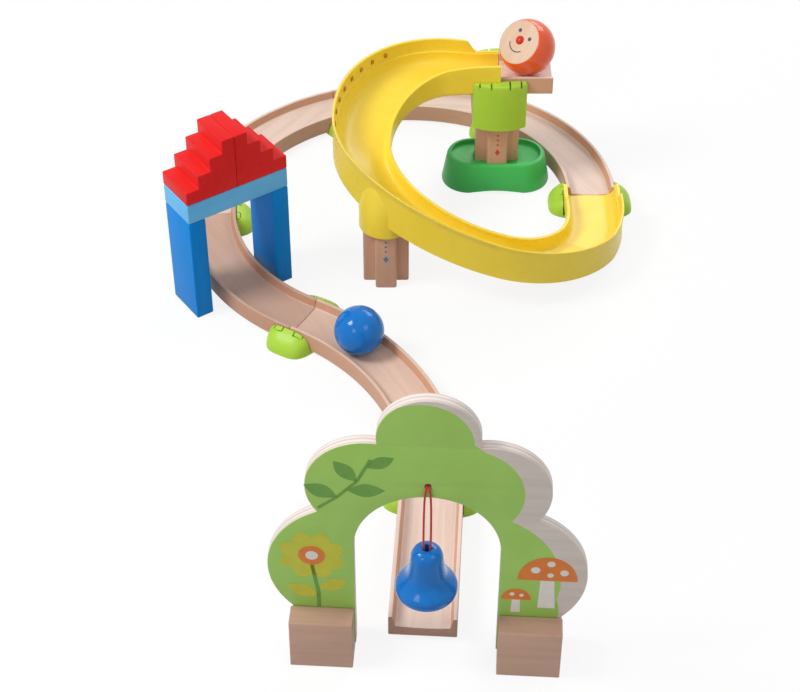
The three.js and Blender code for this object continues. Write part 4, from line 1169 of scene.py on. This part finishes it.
def stroke(points, width):
    """A line of a width as one quad per stretch."""
    shapes = []
    for (ax, az), (bx, bz) in zip(points, points[1:]):
        length = math.hypot(bx - ax, bz - az)
        nx, nz = -(bz - az) / length * width / 2, (bx - ax) / length * width / 2
        shapes.append([(ax + nx, az + nz), (bx + nx, bz + nz), (bx - nx, bz - nz), (ax - nx, az - nz)])
    return shapes


def petals(x, z, radius, count):
    """A round flower with a scalloped edge."""
    points = []
    for i in range(16 * count):
        angle = 2 * math.pi * i / (16 * count)
        reach = 0.78 + 0.22 * abs(math.sin(count * angle / 2))
        points.append(polar(x, z, radius * reach, angle))
    return points


def cap(x, z, radius, rise):
    """A toadstool's cap."""
    angles = [math.pi * i / 24 for i in range(25)]
    return [(x + radius * math.cos(angle), z + rise * math.sin(angle)) for angle in angles]


def gate_print(name, shapes, material, layer=0):
    """A print on the plate's front, where a higher layer lies over a lower one."""
    lift = Matrix.Translation((0, -layer * PRINT_LAYER * MM, 0))
    print_on(f"plate_print_{name}", shapes, material, GATE_FRAME @ lift)


# A leaf sprig, a flower and two toadstools; a leaf is its foot, length, width and direction
SPRIG = ((-78, 152), (-64, 164), (-50, 180), (-40, 202))
SPRIG_LEAVES = (
    (-64, 164, 26, 13, 155), (-57, 171, 27, 13, 2), (-50, 180, 25, 12, 130), (-43, 194, 22, 11, 28),
)
FLOWER = (-84, 102)
FLOWER_STALK = ((-84, 92), (-82, 76), (-80, 62), (-80, 46))
FLOWER_LEAVES = ((-80, 58, 26, 13, 155), (-80, 66, 24, 12, 25))
CAPS = ((88, 86, 22, 25), (66, 64, 11, 12))
CAP_STEMS = (((83, 87), (82, 56), (95, 56), (93, 87)), ((63, 65), (62.5, 50), (69.5, 50), (69, 65)))
CAP_DOTS = ((79, 97, 3.4), (90, 104, 3), (100, 95, 3.2), (90, 92, 2.4), (63, 70, 1.9), (70, 69, 1.7))

deep_ink = ink("print_deep_green", (112, 164, 66), (104, 156, 60))
lime_ink = ink("print_lime", (206, 206, 62), (198, 198, 54))
orange_ink = ink("print_orange", (232, 130, 48), (224, 120, 40))
white_ink = ink("print_white", (238, 234, 226), (232, 226, 218))
stalks = stroke(FLOWER_STALK, 3) + stroke(SPRIG, 2.6)
gate_print("stems", stalks + [leaf(*each) for each in SPRIG_LEAVES], deep_ink)
gate_print("leaves", [leaf(*each) for each in FLOWER_LEAVES] + [petals(*FLOWER, 25, 8)], lime_ink)
gate_print("caps", [cap(*each) for each in CAPS] + [circle(*FLOWER, 10, 28)], orange_ink, 1)
gate_print("trunks", CAP_STEMS, white_ink)
gate_print("dots", [circle(*dot, 20) for dot in (*CAP_DOTS, (*FLOWER, 4.6))], white_ink, 2)

# Marks on the pillars
for node, ink_colour, dots, mark in (
    ("rear_pillar", ink("print_red", (206, 70, 52), (196, 62, 46)), (72, 66.5, 61, 55.5), 46.5),
    ("front_pillar", ink("print_blue", (92, 128, 160), (84, 120, 152)), (54, 48.5, 43), 34),
):
    centre = middle(node)
    face = Matrix.Translation((centre.x, centre.y - PILLAR_ARM_FRONT * MM, 0))
    aside, up = MARK_DIAMOND
    shapes = [circle(0, z, MARK_DOT, 16) for z in dots]
    shapes.append([(0, mark - up), (aside, mark), (0, mark + up), (-aside, mark)])
    print_on(f"{node}_marks", shapes, ink_colour, face)


# Bell, clapper, cord and knot
def bell_outline():
    """The bell from its cord hole over the crown and the lip to the clapper's seat inside."""
    top = BELL_HEIGHT
    lip = BELL_LIP_RADIUS
    hole = CORD_SPREAD + CORD_RADIUS + GAP
    hole_floor = top - CROWN_HOLE_DEPTH
    shoulder, waist, flare = (12, top - 9), (14.8, 18.5), (20.5, 11)
    groove = lip - BELL_GROOVE
    hole_side = [(0, hole_floor), (hole, hole_floor), (hole, top - 0.9), (hole + 0.6, top - 0.35)]
    crown = drawn((0, top), (16, (7.6, top), (11.2, top - 3), shoulder))
    crown = [point for point in crown if point[0] > hole + 0.9]
    skirt = drawn(
        shoulder,
        (10, (12.9, 29), (13.4, 22), waist),
        (8, (16, 15.5), (18.5, 13), flare),
        (6, (22.4, 9.2), (lip, 7.8), (lip, 6.2)),
        (1, (groove, 5.8)), (1, (groove, 5.2)), (1, (lip, 4.8)),
        (8, (lip, 2), (lip - 0.7, 0.5), (lip - 2.4, 0)),
        (1, (lip - 4.4, 0)), (1, (lip - 5, 0.5)),
        (10, (lip - 6.5, 7), (11.5, 13), (10, CLAPPER_PIVOT - 4)),
        (1, (3.3, CLAPPER_PIVOT - 3.5)), (1, (1.7, CLAPPER_PIVOT)), (1, (0, CLAPPER_PIVOT + 2)),
    )
    return hole_side + crown + skirt[1:]


BELL_FRAME = GATE_FRAME @ Matrix.Translation((0, -CORD_FORWARD * MM, BELL_LIP_HEIGHT * MM))
look("bell", turned(bell_outline()), gloss_blue, BELL_FRAME, angle=40)
dressed("bell_clapper", gloss_blue, bevel=0, matrix=BELL_FRAME, angle=60)

hole = CORD_HOLE_HEIGHT
in_hole = CORD_RADIUS + GAP / 2
low = BELL_LIP_HEIGHT + BELL_HEIGHT - CROWN_HOLE_DEPTH + CORD_RADIUS + GAP
strand = [
    (in_hole, PLATE_THICKNESS + 2 * GAP, hole),
    (in_hole, PLATE_THICKNESS / 2, hole),
    (in_hole, 0.6, hole - 0.2),
    (in_hole + 0.2, -CORD_FORWARD + 0.4, hole - 1.6),
    (CORD_SPREAD - 0.6, -CORD_FORWARD, hole - 7),
    (CORD_SPREAD, -CORD_FORWARD, hole - 22),
    (CORD_SPREAD, -CORD_FORWARD, low + 6),
    (CORD_SPREAD - 0.3, -CORD_FORWARD, low + 1.6),
]
route = [Vector((-x, y, z)) for x, y, z in strand] + [Vector((0, -CORD_FORWARD, low))]
route += [Vector(point) for point in reversed(strand)]


def between(a, b, start, end, t):
    """The point at t on the line that is at a when t is start, and at b when t is end."""
    return (a * (end - t) + b * (t - start)) / (end - start)


def catmull(points, steps):
    """A smooth line through points, spaced as the part's cord is."""
    ends = [2 * points[0] - points[1]] + points + [2 * points[-1] - points[-2]]
    line = []
    for i in range(1, len(ends) - 2):
        p = ends[i - 1:i + 3]
        knots = [0.0]
        for a, b in zip(p, p[1:]):
            knots.append(knots[-1] + max((b - a).length, 1e-9) ** 0.5)
        for k in range(steps):
            t = knots[1] + (knots[2] - knots[1]) * k / steps
            first = [between(p[j], p[j + 1], knots[j], knots[j + 1], t) for j in range(3)]
            second = [between(first[j], first[j + 1], knots[j], knots[j + 2], t) for j in range(2)]
            line.append(between(*second, knots[1], knots[2], t))
    return line + [points[-1]]


def rope(name, line, radius, body, cyclic=False):
    """A cord along a line of points in the part's frame."""
    curve = bpy.data.curves.new(name, "CURVE")
    curve.dimensions = "3D"
    curve.bevel_depth = radius * MM
    curve.bevel_resolution = 3
    curve.use_fill_caps = True
    poly_line(curve, line, cyclic)
    curve.materials.append(cord_red)
    obj = bpy.data.objects.new(name, curve)
    scene.collection.objects.link(obj)
    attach(obj, body)
    return obj


cord_line = [GATE_FRAME @ (point * MM) for point in catmull(route, 8)]
cord = rope("bell_cord_look", cord_line, CORD_RADIUS, "hung_cord")
stands_for(cord, "bell_cord")
cord_length = sum((b - a).length for a, b in zip(cord_line, cord_line[1:]))


def knot_line():
    """A trefoil, drawn tight behind the plate."""
    centre = Vector((0, PLATE_THICKNESS + 3 * GAP + KNOT_RADIUS, CORD_HOLE_HEIGHT))
    size = (KNOT_RADIUS - CORD_RADIUS) / 3
    line = []
    for i in range(ROUND_SIDES):
        t = 2 * math.pi * i / ROUND_SIDES
        x = math.sin(t) + 2 * math.sin(2 * t)
        z = math.cos(t) - 2 * math.cos(2 * t)
        line.append(GATE_FRAME @ ((centre + size * Vector((x, -KNOT_DEPTH * math.sin(3 * t), z))) * MM))
    return line


knot = rope("cord_knot_look", knot_line(), CORD_RADIUS, "hung_cord", True)
stands_for(knot, "cord_knot")
tuple(cord_line[0])

# Blue ball
ball = bmesh.new()
blue_low, blue_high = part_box("blue_ball")
radius = (blue_high.z - blue_low.z) / 2
bmesh.ops.create_uvsphere(ball, u_segments=ROUND_SIDES, v_segments=48, radius=radius)
look("blue_ball", ball, gloss_blue, Matrix.Translation(middle("blue_ball")), angle=60)

# Face ball: lacquered, with a bare flat face
face_centre = middle("face_ball")
face_centre.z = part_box("face_ball")[0].z + FACE_BALL_RADIUS * MM
FACE_FRAME = standing(face_centre, FACE_TURN) @ Matrix.Rotation(math.pi / 2 - FACE_RISE, 4, "X")


def face_material():
    """Orange lacquer, and bare wood where the ball is cut flat."""
    t = Tree("orange_lacquer_face")
    where = t.coordinates()
    bare = t.step(t.split(where)[2], (FACE_SEAT - 0.5) * MM, (FACE_SEAT - 0.3) * MM)
    streak = t.noise(t.stretched(where, 1, 0.05), scale=160, detail=5, roughness=0.6)
    cloud = t.noise(where, scale=90, detail=4)
    face = t.mottle(streak, (218, 182, 152), (226, 194, 166))
    orange = t.mottle(cloud, (242, 84, 28), (248, 94, 34))
    t.set(Base_Color=t.mix(bare, orange, face), Roughness=t.scaled(bare, 0.3, 0.2))
    t.bump(t.math("MULTIPLY", streak, bare), distance=0.15 * MM, strength=0.4)
    return t.material


def face_outline():
    """The ball's outline from its back to the middle of the flat face."""
    top = math.acos(FACE_SEAT / FACE_BALL_RADIUS)
    edge = 0.03
    steps = 44
    points = [(0, -FACE_BALL_RADIUS)]
    for i in range(1, steps + 1):
        angle = math.pi - (math.pi - top - edge) * i / steps
        points.append((FACE_BALL_RADIUS * math.sin(angle), FACE_BALL_RADIUS * math.cos(angle)))
    rim = FACE_BALL_RADIUS * math.sin(top)
    points += [(rim - 0.25, FACE_SEAT - 0.12), (rim - 0.9, FACE_SEAT)]
    return points + [(rim * 0.6, FACE_SEAT), (0, FACE_SEAT)]


look("face_ball", turned(face_outline(), 80), face_material(), FACE_FRAME, angle=30)
dressed("face_nose", gloss_red, bevel=0, matrix=FACE_FRAME, angle=60)

# A plain smile: two round eyes and an arc
SMILE_FRAME = (
    FACE_FRAME
    @ Matrix.Rotation(SMILE_ROLL, 4, "Z")
    @ Matrix.Translation((0, 0, FACE_SEAT * MM))
    @ Matrix.Rotation(-math.pi / 2, 4, "X")
)
start, end = (math.radians(degrees) for degrees in SMILE_DEGREES)
smile = [polar(0, 0, SMILE_RADIUS, start + (end - start) * i / 16) for i in range(17)]
eye_aside, eye_up, eye_radius = EYE
eyes = [circle(side * eye_aside, eye_up, eye_radius, 20) for side in (-1, 1)]
face_ink = ink("print_face", (70, 66, 92), (60, 56, 80))
shapes = eyes + stroke(smile, SMILE_WIDTH)
print_on("face_smile", shapes, face_ink, SMILE_FRAME, "face_ball")
